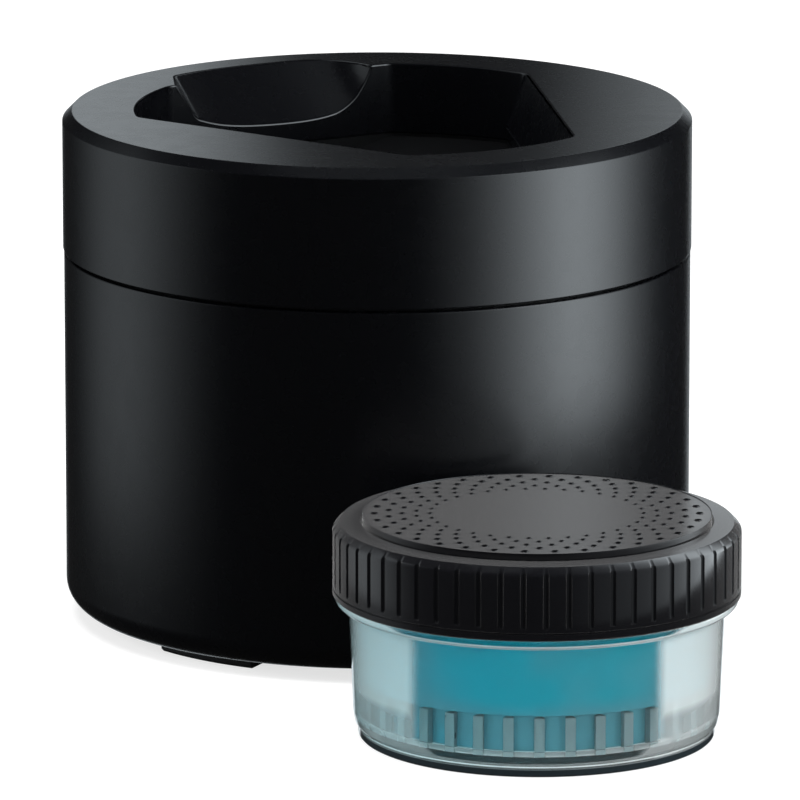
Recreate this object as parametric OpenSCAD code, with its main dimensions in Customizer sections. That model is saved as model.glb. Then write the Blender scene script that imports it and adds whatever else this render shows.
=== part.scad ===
// Shaver cleaning station: a round pod whose upper housing holds a shaver's
// head over a cleaning cartridge. The cartridge stands beside the pod.
// Millimetres. Z up from the floor, the pod's axis at X = Y = 0, front at -Y.

/* [Pod] */
// Diameter of the upper housing
pod_d = 130; // [128:0.5:140]
// Height of both housings together, without the feet
body_h = 104; // [102:0.5:116]
// Height of the upper housing, which lifts off
upper_h = 28.7; // [27:0.1:32]
// Wall of both housings
wall = 2.4; // [1.8:0.1:2.6]
// Chamfer round the top edge
rim_chamfer = 2; // [0.5:0.1:3]
// Radius round the bottom edge
base_edge_r = 5.5; // [3:0.1:6.5]
// Open groove between the two housings
seam_gap = 0.6; // [0.3:0.1:1]
// How far the lower housing stands back from the upper one
seam_step = 0.2; // [0:0.05:0.4]
// Height of the spigot that locates the upper housing
spigot_h = 5; // [3:0.5:6]
// Clearance between pieces that drop into each other
fit_gap = 0.3; // [0.2:0.05:0.4]
// Height of the rubber feet below the housing
foot_h = 2.2; // [1.5:0.1:4]
// Number of rubber feet
foot_n = 6; // [3:1:6]

/* [Opening] */
// Reach of the three rounded corners of the shaver opening
lobe_r = 50; // [47:0.5:51]
// Radius that rounds the opening's outline
outline_r = 4.5; // [3:0.5:6]
// Distance of the opening's back side from the axis
back_side = 42.6; // [41:0.2:44]
// Distance of the opening's right side from the axis
right_side = 36; // [34:0.2:38]
// Distance of the opening's front left side from the axis
front_side = 36.4; // [34:0.2:38]
// How far the right and front sides lean in down to their lip
side_lean = 4; // [2:0.2:5]
// Depth of the lip of the right and front sides
side_depth = 12; // [9:0.2:12.6]
// Depth of the finger scoop's lip
scoop_depth = 10.6; // [9:0.2:12]
// Radius of the finger scoop's outer edge
scoop_r = 56; // [53:0.5:57]
// Half width of the finger scoop at the lip
scoop_half_w = 23.6; // [20:0.2:25]
// Radius in the finger scoop's lower corners
scoop_corner_r = 9.5; // [5:0.5:12]
// How far the finger scoop's left end leans in, in degrees
scoop_left_lean = 30; // [5:1:35]
// How far the finger scoop's right end leans in, in degrees
scoop_right_lean = 13; // [5:1:35]
// Depth of the upper housing's own part of the shaver well
collar_h = 15; // [13.5:0.5:16]
// Radius of the drain mouth that sits on the cartridge
mouth_r = 31; // [29:0.5:32]

/* [Cartridge] */
// Outer radius of the grip ring
cap_r = 40.4; // [40:0.1:41]
// Height of the whole cartridge
cart_h = 44.5; // [43:0.5:46]
// Height of the grip ring
cap_h = 14.8; // [14:0.1:17]
// Number of grip grooves
groove_n = 57; // [45:1:60]
// Radius of a grip groove
groove_r = 0.6; // [0.4:0.05:0.8]
// Width of the bevel round the grip ring's top
cap_bevel = 1.4; // [1:0.1:2]
// Wall of the grip ring
cap_wall = 2; // [1.6:0.1:2.2]
// Radius of the perforated disc
disc_r = 34.5; // [34:0.1:35]
// How far the disc stands proud of the grip ring
disc_rise = 1.2; // [0.8:0.1:1.6]
// Number of holes in each ring of the disc
hole_n = 34; // [24:1:36]
// Radius of a hole in the outermost ring
hole_r = 0.6; // [0.4:0.05:0.65]
// Outer radius of the cup at its top
cup_r = 37.2; // [36.8:0.1:37.4]
// Draft of the cup's wall from top to bottom
cup_draft = 0.9; // [0.4:0.1:1.2]
// Wall of the cup
cup_wall = 1.8; // [1.4:0.1:2]
// Number of ribs inside the cup's foot
rib_n = 36; // [24:1:40]
// Height of those ribs
rib_h = 8; // [6:0.5:10]
// Gap between the standing cartridge and the pod
cart_stand_off = 1.2; // [1:0.1:6]
// How far right of the pod's axis the cartridge stands
cart_x = 31.5; // [20:0.5:60]

/* [Drive] */
// Radius of the pump motor's can
motor_r = 12.2; // [10:0.1:12.6]
// Share of the room between its mount and the bottom cover that the motor's can takes
motor_share = 0.617; // [0.5:0.01:0.64]
// Radius of the motor shaft
shaft_r = 1; // [0.8:0.05:1.4]
// Radius of the magnet carrier
rotor_r = 13; // [11.5:0.5:14.5]
// Radius of the impeller
impeller_r = 11; // [10:0.5:13]
// Number of impeller vanes
vane_n = 6; // [4:1:8]
// Radius of a battery cell
cell_r = 5.2; // [5:0.05:5.3]
// Length of a battery cell's can
cell_l = 43.6; // [42:0.1:44]

/* [Start switch] */
// How far the start plunger travels
plunger_travel = 2; // [1.5:0.1:2.5]
// Radius of the plunger's button
button_r = 3.2; // [3:0.1:3.4]
// Radius of the plunger's stem
stem_r = 1.6; // [1.3:0.05:1.7]

/* [Hidden] */

$fn = 96;
eps = 0.01;
// Radial play of what turns or slides on a pin
run_gap = 0.06;

// Pod levels and radii
pod_r = pod_d / 2;
base_r = pod_r - seam_step;
base_in_r = base_r - wall;
upper_in_r = pod_r - wall;
top_z = foot_h + body_h;
seam_z = top_z - upper_h;
lip_z = top_z - side_depth;
collar_z = top_z - collar_h;

// Directions of the opening's sides, in degrees from +X
back_az = 118.7;
right_az = 7;
front_az = -126.1;
// Step back under the leaning sides' lip
lip_undercut = 0.3;
// Direction the finger scoop faces
scoop_az = 120.5;
scoop_rise = 0.84;
scoop_left_plan = 27;
scoop_right_plan = 4;

// Small screws
screw_r = 1.1;
screw_head_r = 2.2;
screw_head_h = 1.3;
pilot_r = 1.15;
screw_l = 8;
recess_l = 2.4;
recess_w = 0.5;
recess_d = 0.7;

// Underside of the upper housing
underplate_t = 2.2;
spigot_w = 2;
mouth_flange_w = 3.2;
mouth_flange_t = 1.6;
basin_wall = 2;
basin_slope_w = 3.4;
seal_drop = 0.5;
seal_w = 3;
post_r = 3.2;
top_post_at = upper_in_r - post_r - 2;
top_post_azs = [22, 72, 192, 268];

// Cartridge well in the lower housing
well_wall = 2;
well_r = cap_r + 0.8;
well_out_r = well_r + well_wall;
cup_bore_r = cup_r + 1;
well_z = seam_z - seal_drop - cart_h;
deck_t = 2;
deck_z = well_z - deck_t;
deck_r = 53;
boss_r = 18;
boss_h = 1.4;
flange_t = 2;
well_seal_t = 0.9;
flange_z = seam_z - spigot_h - fit_gap - well_seal_t - flange_t;
ledge_w = 2.2;
ledge_h = 3;
post_at = 46.5;
post_azs = [20, 160, -55, -125];

// Underside
cover_t = 2.4;
cover_r = 49.4;
cover_z = foot_h + 0.3;
cover_top_z = cover_z + cover_t;
foot_in_r = 50.6;
foot_out_r = 57.6;
foot_arc = 24;
foot_az = -128.5;
foot_recess = 0.8;
foot_gap = 0.1;
centre_foot_r = 6;

// Battery bay, behind the motor
bay_y = 27.5;
bay_wall = 1.2;
cell_gap = 0.3;
nub_h = 0.8;
nub_r = 1.9;
contact_t = 0.4;
contact_w = 8;
contact_coil_r = 3;
spring_room = 2.4;
bay_l = cell_l + nub_h + spring_room + 2 * contact_t;
bay_w = 4 * cell_r + 3 * cell_gap;
bay_h = 2 * cell_r + 2 * cell_gap;
cell_at = cell_r + cell_gap / 2;
cell_z = cover_top_z + cell_r + cell_gap;
door_t = 1.8;
door_l = bay_l + 1;
door_w = bay_w + 1;
hinge_r = 1.2;
hinge_pin_r = 0.7;
hinge_y = bay_y + door_w / 2 + hinge_r;
hinge_z = cover_z + hinge_r;
hinge_ear_l = 4;

// Drive stack under the well's floor
rotor_t = 3;
rotor_z = deck_z + boss_h - 0.9 - rotor_t;
magnet_r = 2.5;
magnet_t = 2;
magnet_at = 8.4;
magnet_n = 4;
mount_t = 1.6;
mount_z = rotor_z - 1.4 - mount_t;
mount_at = 20;
mount_arm_w = 6.4;
mount_azs = [35, 145, 215, 325];
mount_screw_grip = 3.2;
motor_boss_r = 3.1;
motor_h = motor_share * (mount_z - cover_top_z);
motor_z = mount_z - motor_h;
shaft_in = motor_h / 2;

// Control board, in front of the motor
board_w = 40;
board_d = 20;
board_t = 1.6;
board_y = -30;
standoff_h = 4;
board_z = cover_top_z + standoff_h;
standoff_x = 17;
standoff_y = 7;
standoff_r = 2.2;

// Start plunger, in the opening's front right corner
plunger_az = -62;
plunger_at = lobe_r - 3.7;
pad_r = 4.4;
pad_z = collar_z - 1.4;
pocket_r = 2.75;
pocket_h = 5;
button_h = 1.8;
button_z = pad_z + plunger_travel + 0.1;
stem_low_z = flange_z - 0.8;
spring_wire_r = 0.3;
spring_r = 2.3;
spring_turns = 5;
clip_t = 0.6;
clip_r = 2.6;
grommet_r = 2.9;
grommet_lip = 0.8;
switch_w = 12.8;
switch_d = 5.4;
switch_h = 6.5;
switch_key_h = 0.8;
switch_z = stem_low_z - plunger_travel - 0.1 - switch_key_h - switch_h;
shelf_t = 1.6;

// Cartridge, measured from its own foot and axis
cart_y = -sqrt(pow(pod_r + cap_r + cart_stand_off, 2) - pow(cart_x, 2));
cap_top_h = cart_h - disc_rise;
cap_low_h = cap_top_h - cap_h;
cap_in_r = cap_r - cap_wall;
cap_plate_t = 2;
disc_t = 2.4;
disc_gap = 0.2;
disc_ledge_w = 1.6;
groove_foot_h = 2.4;
neck_r = cap_in_r - 0.9;
neck_in_r = neck_r - cup_wall;
cap_seal_t = 1.2;
neck_top_h = cap_top_h - cap_plate_t - cap_seal_t;
cup_flange_t = 1.6;
cup_flange_r = cap_r - 0.6;
cup_low_r = cup_r - cup_draft;
cup_in_r = cup_r - cup_wall;
cup_low_in_r = cup_low_r - cup_wall;
foot_ring_r = 35.3;
foot_ring_w = 2;
foot_ring_h = 2.2;
cup_floor_t = 1.8;
cup_floor_h = foot_ring_h + cup_floor_t;
cup_curve_h = 5;
rib_d = 2.2;
rib_w = 2.4;
rib_tip_w = 1.2;
lug_n = 3;
lug_arc = 26;
lug_t = 1.4;
lug_h = cap_low_h + 4.6;
lug_reach = 0.6;
fluid_gap = 0.15;
fluid_top_h = cap_low_h + 3;
axle_r = 1;
axle_boss_r = 2.4;
axle_sink = 1.4;
impeller_h0 = cup_floor_h + 0.5;
ring_magnet_t = 2;
ring_magnet_r = 9.5;
ring_magnet_in_r = 5;
impeller_disc_t = 1;
vane_h = 4.4;
vane_t = 1;
impeller_top_h = impeller_h0 + ring_magnet_t + impeller_disc_t + vane_h;
axle_top_h = impeller_top_h + 1.2;
hub_r = 2.8;
ring_pitch = 2.75;
ring_n = 5;
hole_ring_r = disc_r - 2.4;
hole_shrink = 0.07;
well_ledge_z = well_z + cap_low_h - cup_flange_t - 0.4;

// ---- shapes that several pieces share ----

module at(azs, r) {
    for (az = azs) rotate([0, 0, az]) translate([r, 0, 0]) children();
}

module at_pattern(n, r, start = 0) {
    at([for (k = [0 : n - 1]) start + k * 360 / n], r) children();
}

module ring(r_out, r_in, h) {
    difference() {
        cylinder(r = r_out, h = h);
        translate([0, 0, -eps]) cylinder(r = r_in, h = h + 2 * eps);
    }
}

// Part of a ring, centred on +X
module arc_block(r_out, r_in, h, arc) {
    rotate([0, 0, -arc / 2]) rotate_extrude(angle = arc) translate([r_in, 0]) square([r_out - r_in, h]);
}

// Coil spring drawn as level turns that one upright joins
module coil(r, wire, n, length) {
    step = (length - 2 * wire) / (n - 1);
    for (i = [0 : n - 1]) translate([0, 0, wire + i * step]) rotate_extrude() translate([r, 0]) circle(r = wire, $fn = 16);
    translate([r, 0, wire]) cylinder(r = wire * 0.8, h = length - 2 * wire, $fn = 16);
}

// Small screw that goes up from z, with a cross recess in its head
module screw(l = screw_l) {
    difference() {
        union() {
            cylinder(r = screw_head_r, h = screw_head_h);
            cylinder(r = screw_r, h = l);
        }
        for (a = [0, 90]) rotate([0, 0, a]) translate([-recess_l / 2, -recess_w / 2, -eps]) cube([recess_l, recess_w, recess_d]);
    }
}

module half_plane(az, d) {
    rotate([0, 0, az]) translate([d - pod_d, -pod_d]) square([pod_d, 2 * pod_d]);
}

// Outline of the shaver opening at the top
module opening_2d(grow = 0) {
    offset(r = outline_r + grow, $fn = 48) offset(delta = -outline_r)
        intersection() {
            circle(r = lobe_r);
            half_plane(back_az, back_side);
            half_plane(right_az, right_side);
            half_plane(front_az, front_side);
        }
}

// Outline below the lip, where the right and front sides have leaned in
module lip_2d(grow = 0) {
    intersection() {
        opening_2d(grow);
        half_plane(right_az, right_side - side_lean + lip_undercut + grow);
        half_plane(front_az, front_side - side_lean + lip_undercut + grow);
    }
}

// Everything inside a side that leans in to the lip and then goes straight down
module leaning_side(az, d) {
    rotate([0, 0, az]) translate([0, pod_r, 0]) rotate([90, 0, 0]) linear_extrude(pod_d)
        polygon([[-pod_r, collar_z - 2], [d - side_lean + lip_undercut, collar_z - 2], [d - side_lean + lip_undercut, lip_z],
                 [d - side_lean, lip_z], [d + side_lean / side_depth, top_z + 1], [-pod_r, top_z + 1]]);
}

// The upper housing's part of the shaver well
module well_mouth() {
    intersection() {
        translate([0, 0, collar_z - 1]) linear_extrude(collar_h + 2) opening_2d();
        leaning_side(right_az, right_side);
        leaning_side(front_az, front_side);
    }
}

// Sloping channel of the finger scoop, whose floor rises to the top at scoop_r
module scoop_channel(grow = 0) {
    half = scoop_half_w + grow;
    slope = atan2(scoop_depth, scoop_r - back_side);
    rotate([0, 0, scoop_az]) translate([scoop_r, 0, top_z]) rotate([0, -slope, 0]) rotate([90, 0, 90])
        translate([0, 0, -22]) linear_extrude(26) {
            translate([-half, scoop_corner_r - grow]) square([2 * half, 24]);
            translate([-half + scoop_corner_r, -grow]) square([2 * (half - scoop_corner_r), 24]);
            for (s = [-1, 1]) translate([s * (half - scoop_corner_r), scoop_corner_r - grow]) circle(r = scoop_corner_r);
        }
}

// Everything inside one leaning end of the finger scoop
module scoop_end(side, plan, lean) {
    rotate([0, 0, scoop_az]) translate([back_side, side * scoop_half_w, top_z])
        rotate([0, 0, -side * plan]) rotate([-side * lean, 0, 0]) translate([-pod_r, -pod_r - side * pod_r, -pod_r]) cube([pod_d, pod_d, pod_d]);
}

// Finger scoop: from a rounded lip in the well's back wall up to an arc round the axis
module scoop() {
    intersection() {
        scoop_channel();
        translate([0, 0, top_z - 16]) cylinder(r1 = scoop_r - 16 / scoop_rise, r2 = scoop_r + 1 / scoop_rise, h = 17);
        scoop_end(1, scoop_left_plan, scoop_left_lean);
        scoop_end(-1, scoop_right_plan, scoop_right_lean);
    }
}

// Half section of a housing of radius r, from z up, with a rounded lower edge
module cup_section(r, z, edge, top) {
    translate([0, z + edge]) square([r, top - z - edge]);
    translate([0, z]) square([r - edge, edge + eps]);
    translate([r - edge, z + edge]) intersection() {
        circle(r = edge);
        translate([0, -edge]) square([edge, edge + eps]);
    }
}

// ---- lower housing and what it holds ----

module base_housing() {
    color("#17181a") difference() {
        rotate_extrude() difference() {
            cup_section(base_r, foot_h, base_edge_r, seam_z - seam_gap);
            difference() {
                cup_section(base_in_r, foot_h + wall, base_edge_r - wall, seam_z);
                // ledge under the well's flange
                translate([base_in_r - ledge_w, flange_z - ledge_h]) square([ledge_w + 1, ledge_h]);
            }
            square([cover_r + fit_gap, foot_h + 2 * wall]);
        }
        translate([0, 0, foot_h - eps]) at_pattern(foot_n, 0, foot_az)
            arc_block(foot_out_r, foot_in_r, foot_recess + eps, foot_arc);
    }
}

module rubber_feet() {
    side_arc = foot_arc - 0.3;
    color("#0c0d0e") at_pattern(foot_n, 0, foot_az)
        rotate([0, 0, -side_arc / 2]) rotate_extrude(angle = side_arc) translate([foot_in_r + foot_gap, 0]) {
            w = foot_out_r - foot_in_r - 2 * foot_gap;
            top = foot_h + foot_recess;
            polygon([[0.6, 0], [w - 0.6, 0], [w, 0.6], [w, top], [0, top], [0, 0.6]]);
        }
    // pad under the middle of the bottom cover, which is pushed down at every start
    color("#0c0d0e") union() {
        cylinder(r1 = centre_foot_r - 0.6, r2 = centre_foot_r, h = 0.6);
        translate([0, 0, 0.6 - eps]) cylinder(r = centre_foot_r, h = cover_z + foot_recess - 0.6 + eps);
    }
}

module cartridge_well() {
    flange_r = base_in_r - fit_gap;
    rim_z = seam_z - fit_gap;
    color("#2b2d30") difference() {
        union() {
            rotate_extrude() polygon([
                [0, deck_z + boss_h], [boss_r - 2, deck_z + boss_h], [boss_r - 2, deck_z], [deck_r, deck_z],
                [deck_r, well_z], [cup_bore_r + well_wall, well_z],
                [cup_bore_r + well_wall, well_ledge_z - 3], [well_out_r, well_ledge_z],
                [well_out_r, flange_z], [flange_r, flange_z], [flange_r, flange_z + flange_t],
                [well_out_r, flange_z + flange_t], [well_out_r, rim_z],
                [well_r, rim_z], [well_r, well_ledge_z + 1], [cup_bore_r, well_ledge_z - 1],
                [cup_bore_r, well_z], [boss_r, well_z], [boss_r, well_z + boss_h], [0, well_z + boss_h]]);
            at(post_azs, post_at) translate([0, 0, cover_top_z]) cylinder(r = post_r, h = deck_z - cover_top_z + eps);
            at(mount_azs, mount_at) translate([0, 0, mount_z + mount_t])
                cylinder(r = mount_arm_w / 2 - 0.6, h = deck_z - mount_z - mount_t + eps);
            // shelf that carries the start switch
            at([plunger_az], well_out_r - 2) translate([0, -switch_w / 2 - 1, switch_z - shelf_t])
                cube([plunger_at + switch_d / 2 - well_out_r + 3, switch_w + 2, shelf_t]);
        }
        at(post_azs, post_at) translate([0, 0, cover_top_z - eps]) cylinder(r = pilot_r, h = screw_l);
        at(mount_azs, mount_at) translate([0, 0, mount_z + mount_t - eps]) cylinder(r = pilot_r, h = 3.6);
        at([plunger_az], plunger_at) translate([0, 0, flange_z - 1]) cylinder(r = grommet_r - grommet_lip, h = flange_t + 2);
    }
}

module bottom_cover() {
    door_back_y = hinge_y + hinge_r + fit_gap;
    color("#1c1d1f") difference() {
        union() {
            translate([0, 0, cover_z]) cylinder(r = cover_r, h = cover_t);
            for (x = [-1, 1], y = [-1, 1])
                translate([x * standoff_x, board_y + y * standoff_y, cover_top_z - eps]) cylinder(r = standoff_r, h = standoff_h + eps);
        }
        at(post_azs, post_at) translate([0, 0, cover_z - 1]) {
            cylinder(r = screw_r + 0.3, h = cover_t + 2);
            cylinder(r = screw_head_r + 0.2, h = 1 + screw_head_h);
        }
        for (x = [-1, 1], y = [-1, 1])
            translate([x * standoff_x, board_y + y * standoff_y, cover_top_z + 0.4]) cylinder(r = pilot_r, h = standoff_h);
        translate([0, 0, cover_z - 1]) cylinder(r = centre_foot_r + foot_gap, h = 1 + foot_recess);
        // doorway of the battery bay
        translate([-door_l / 2 - fit_gap, bay_y - door_w / 2 - fit_gap, cover_z - 1])
            cube([door_l + 2 * fit_gap, door_back_y - bay_y + door_w / 2 + fit_gap, cover_t + 2]);
        // finger notch at the door's free edge
        translate([0, bay_y - door_w / 2, cover_z - 4.2]) rotate([0, 0, 0]) sphere(r = 6);
    }
    // pins that the door turns on
    color("#1c1d1f") for (s = [-1, 1])
        translate([s * (door_l / 2 + fit_gap + 0.5), hinge_y, hinge_z]) rotate([0, -90 * s, 0])
            cylinder(r = hinge_pin_r, h = hinge_ear_l);
}

module battery_door() {
    y0 = bay_y - door_w / 2;
    color("#1c1d1f") difference() {
        union() {
            translate([-door_l / 2, y0, cover_z]) cube([door_l, hinge_y - y0, door_t]);
            translate([-door_l / 2, hinge_y, hinge_z]) rotate([0, 90, 0]) cylinder(r = hinge_r, h = door_l);
            // snap rib inside the free edge
            translate([-6, y0 + 0.6, cover_z + door_t - eps]) cube([12, 1, 1.6]);
        }
        for (s = [-1, 1]) translate([s * (door_l / 2 + 1), hinge_y, hinge_z]) rotate([0, -90 * s, 0])
            cylinder(r = hinge_pin_r + run_gap, h = hinge_ear_l + 1);
        for (i = [-3 : 3]) translate([-8, y0 + 3 + 1.2 * (i + 3), cover_z - eps]) cube([16, 0.5, 0.4]);
    }
}

module cover_screws() {
    color("#8d9093") at(post_azs, post_at) translate([0, 0, cover_z]) screw();
}

module battery_tray() {
    color("#2a2b2d") translate([0, bay_y, cover_top_z]) difference() {
        translate([-bay_l / 2 - bay_wall, -bay_w / 2 - bay_wall, 0])
            cube([bay_l + 2 * bay_wall, bay_w + 2 * bay_wall, bay_h + bay_wall]);
        translate([-bay_l / 2, -bay_w / 2, -eps]) cube([bay_l, bay_w, bay_h + eps]);
    }
}

// Places each cell with its nub towards +Z
module cell_places() {
    for (s = [-1, 1]) translate([0, bay_y + s * cell_at, cell_z]) rotate([0, 90 * s, 0])
        translate([0, 0, -bay_l / 2]) children();
}

module battery_cells() {
    cell_low = contact_t + spring_room;
    cell_places() {
        color("#2d5f86") translate([0, 0, cell_low]) cylinder(r = cell_r, h = cell_l);
        color("#c9c9c9") translate([0, 0, cell_low + cell_l - eps]) cylinder(r = nub_r, h = nub_h);
    }
}

module battery_contacts() {
    color("#c5c7c9") cell_places() {
        for (z = [0, bay_l - contact_t])
            translate([-contact_w / 2, -contact_w / 2, z]) cube([contact_w, contact_w, contact_t]);
        translate([0, 0, contact_t + 0.05]) coil(contact_coil_r, spring_wire_r, 3, spring_room - 0.1);
    }
}

module motor_mount() {
    color("#3a3c3f") translate([0, 0, mount_z]) difference() {
        union() {
            cylinder(r = motor_r + 1, h = mount_t);
            at(mount_azs, 0) translate([0, -mount_arm_w / 2, 0]) cube([mount_at, mount_arm_w, mount_t]);
            at(mount_azs, mount_at) cylinder(r = mount_arm_w / 2, h = mount_t);
        }
        translate([0, 0, -1]) cylinder(r = motor_boss_r + 0.1, h = mount_t + 2);
        at(mount_azs, mount_at) translate([0, 0, -1]) cylinder(r = screw_r + 0.2, h = mount_t + 2);
    }
}

module mount_screws() {
    color("#8d9093") at(mount_azs, mount_at) translate([0, 0, mount_z - screw_head_h]) screw(screw_head_h + mount_t + mount_screw_grip);
}

module drive_motor() {
    color("#b3b6b8") difference() {
        union() {
            translate([0, 0, motor_z]) cylinder(r = motor_r, h = motor_h);
            translate([0, 0, mount_z - eps]) cylinder(r = motor_boss_r, h = 1.2);
            translate([0, 0, motor_z - 1]) cylinder(r = 3.6, h = 1 + eps);
            for (s = [-1, 1]) translate([s * 7 - 0.25, -1.2, motor_z - 3]) cube([0.5, 2.4, 3 + eps]);
        }
        translate([0, 0, mount_z - shaft_in - 1]) cylinder(r = shaft_r + run_gap, h = shaft_in + 4);
    }
}

module drive_rotor() {
    color("#d8d8d4") difference() {
        union() {
            translate([0, 0, rotor_z]) cylinder(r = rotor_r, h = rotor_t);
            translate([0, 0, mount_z - shaft_in]) cylinder(r = shaft_r, h = rotor_z - mount_z + shaft_in + eps);
        }
        at_pattern(magnet_n, magnet_at) translate([0, 0, rotor_z + rotor_t - magnet_t]) cylinder(r = magnet_r, h = magnet_t + 1);
    }
}

module drive_magnets() {
    color("#4a4d50") at_pattern(magnet_n, magnet_at)
        translate([0, 0, rotor_z + rotor_t - magnet_t]) cylinder(r = magnet_r - 0.02, h = magnet_t);
}

module control_board() {
    color("#1f5c3a") difference() {
        union() {
            translate([-board_w / 2, board_y - board_d / 2, board_z]) cube([board_w, board_d, board_t]);
            translate([0, board_y, board_z + board_t - eps]) {
                translate([-4, -3, 0]) cube([8, 8, 1.2]);
                translate([-13, -6, 0]) cube([6, 7, 4]);
                translate([8, -8, 0]) cube([3, 2, 1]);
                translate([8, -4, 0]) cube([3, 2, 1]);
                translate([11, 3, 0]) cylinder(r = 2.6, h = 6);
            }
        }
        for (x = [-1, 1], y = [-1, 1])
            translate([x * standoff_x, board_y + y * standoff_y, board_z - 1]) cylinder(r = screw_r + 0.2, h = board_t + 2);
    }
}

module board_screws() {
    color("#8d9093") for (x = [-1, 1], y = [-1, 1])
        translate([x * standoff_x, board_y + y * standoff_y, board_z + board_t + screw_head_h])
            mirror([0, 0, 1]) screw(screw_head_h + board_t + 3.2);
}

module start_switch() {
    color("#26282a") at([plunger_az], plunger_at) {
        translate([-switch_d / 2, -switch_w / 2, switch_z]) cube([switch_d, switch_w, switch_h]);
        translate([-0.9, -1.4, switch_z + switch_h - eps]) cube([1.8, 2.8, switch_key_h]);
        for (i = [-1 : 1]) translate([switch_d / 2 - eps, 4.4 * i - 0.5, switch_z + 1]) cube([2.4, 1, 0.5]);
    }
}

module switch_grommet() {
    stem_hole_r = stem_r + 0.1;
    color("#202224") at([plunger_az], plunger_at) {
        translate([0, 0, flange_z + flange_t]) ring(grommet_r, stem_hole_r, 0.9);
        translate([0, 0, flange_z + 0.2]) ring(grommet_r - grommet_lip - 0.02, stem_hole_r, flange_t);
    }
}

module well_seal() {
    color("#202224") translate([0, 0, flange_z + flange_t]) ring(base_in_r - fit_gap, base_in_r - fit_gap - spigot_w - 0.6, well_seal_t);
}

// ---- upper housing ----

module top_housing() {
    plate_z = top_z - wall;
    color("#1b1c1e") difference() {
        union() {
            rotate_extrude() polygon([
                [0, top_z], [pod_r - rim_chamfer, top_z], [pod_r, top_z - rim_chamfer], [pod_r, seam_z],
                [upper_in_r, seam_z], [upper_in_r, plate_z - 1], [upper_in_r - 1, plate_z], [0, plate_z]]);
            translate([0, 0, collar_z]) linear_extrude(plate_z - collar_z + 0.5) opening_2d(wall);
            intersection() {
                scoop_channel(wall);
                cylinder(r = upper_in_r + 0.5, h = top_z - 1);
                rotate([0, 0, scoop_az]) translate([back_side - 2, -pod_r, collar_z]) cube([pod_d, pod_d, body_h]);
            }
            at(top_post_azs, top_post_at) translate([0, 0, seam_z + underplate_t])
                cylinder(r = post_r, h = plate_z - seam_z - underplate_t + eps);
        }
        well_mouth();
        scoop();
        at(top_post_azs, top_post_at) translate([0, 0, seam_z + underplate_t - eps]) cylinder(r = pilot_r, h = screw_l);
    }
}

// Funnel that follows the opening's outline at its top and is round at its mouth
module basin_funnel(r_low, r_high, grow) {
    floor_z = seam_z + underplate_t;
    translate([0, 0, seam_z]) cylinder(r = mouth_r + grow, h = underplate_t + eps);
    intersection() {
        translate([0, 0, floor_z]) linear_extrude(collar_z - floor_z) lip_2d(grow);
        translate([0, 0, floor_z]) cylinder(r1 = r_low, r2 = r_high, h = collar_z - floor_z);
    }
}

module shaver_basin() {
    tube_r = stem_r + 1.4;
    floor_z = seam_z + underplate_t;
    color("#17181a") difference() {
        union() {
            difference() {
                union() {
                    basin_funnel(mouth_r + basin_slope_w, lobe_r + 1 + basin_slope_w, basin_wall);
                    // flange that the underplate clamps
                    translate([0, 0, floor_z]) cylinder(r = mouth_r + basin_wall + mouth_flange_w, h = mouth_flange_t);
                }
                translate([0, 0, -eps]) basin_funnel(mouth_r, lobe_r + 1, 0);
                translate([0, 0, collar_z - 2 * eps]) cylinder(r = pod_r, h = 1);
            }
            // pad and guide tube of the start plunger
            at([plunger_az], plunger_at) {
                translate([0, 0, pad_z - pocket_h - 1.4]) cylinder(r = pad_r - 0.6, h = pocket_h + 1.4);
                translate([0, 0, floor_z]) cylinder(r = tube_r, h = pad_z - floor_z - 1);
            }
        }
        at([plunger_az], plunger_at) {
            translate([0, 0, pad_z]) cylinder(r = button_r + fit_gap, h = 4);
            translate([0, 0, pad_z - pocket_h]) cylinder(r = pocket_r, h = pocket_h + 1);
            translate([0, 0, floor_z - 1]) cylinder(r = stem_r + run_gap, h = pad_z - floor_z + 1);
        }
    }
}

module basin_seal() {
    color("#303234") translate([0, 0, seam_z - seal_drop]) ring(mouth_r + seal_w, mouth_r + 0.2, seal_drop);
}

module underplate() {
    color("#2b2d30") difference() {
        rotate_extrude() polygon([
            [mouth_r + basin_wall + fit_gap, seam_z], [base_in_r - fit_gap - spigot_w, seam_z],
            [base_in_r - fit_gap - spigot_w, seam_z - spigot_h], [base_in_r - fit_gap - 0.4, seam_z - spigot_h],
            [base_in_r - fit_gap, seam_z - spigot_h + 0.4], [base_in_r - fit_gap, seam_z],
            [upper_in_r - fit_gap, seam_z], [upper_in_r - fit_gap, seam_z + underplate_t],
            [mouth_r + basin_wall + fit_gap, seam_z + underplate_t]]);
        at(top_post_azs, top_post_at) translate([0, 0, seam_z - 1]) {
            cylinder(r = screw_r + 0.2, h = underplate_t + 2);
            cylinder(r = screw_head_r + 0.2, h = 1 + screw_head_h);
        }
        at([plunger_az], plunger_at) translate([0, 0, seam_z - 1]) cylinder(r = stem_r + 0.5, h = underplate_t + 2);
    }
}

module underplate_screws() {
    color("#8d9093") at(top_post_azs, top_post_at) translate([0, 0, seam_z]) screw();
}

module start_plunger() {
    clip_z = seam_z - 1.2;
    color("#34373a") at([plunger_az], plunger_at) difference() {
        union() {
            translate([0, 0, stem_low_z]) cylinder(r = stem_r, h = button_z - stem_low_z + eps);
            translate([0, 0, button_z]) intersection() {
                cylinder(r = button_r, h = button_h);
                translate([0, 0, button_h - 5]) sphere(r = 5);
            }
        }
        // groove of the retaining clip
        translate([0, 0, clip_z]) ring(stem_r + 1, stem_r - 0.4, clip_t);
    }
}

module plunger_clip() {
    clip_z = seam_z - 1.2;
    color("#9da0a3") at([plunger_az], plunger_at) translate([0, 0, clip_z + 0.02]) difference() {
        ring(clip_r, stem_r - 0.38, clip_t - 0.04);
        translate([0, -0.9, -1]) cube([4, 1.8, 3]);
    }
}

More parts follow.
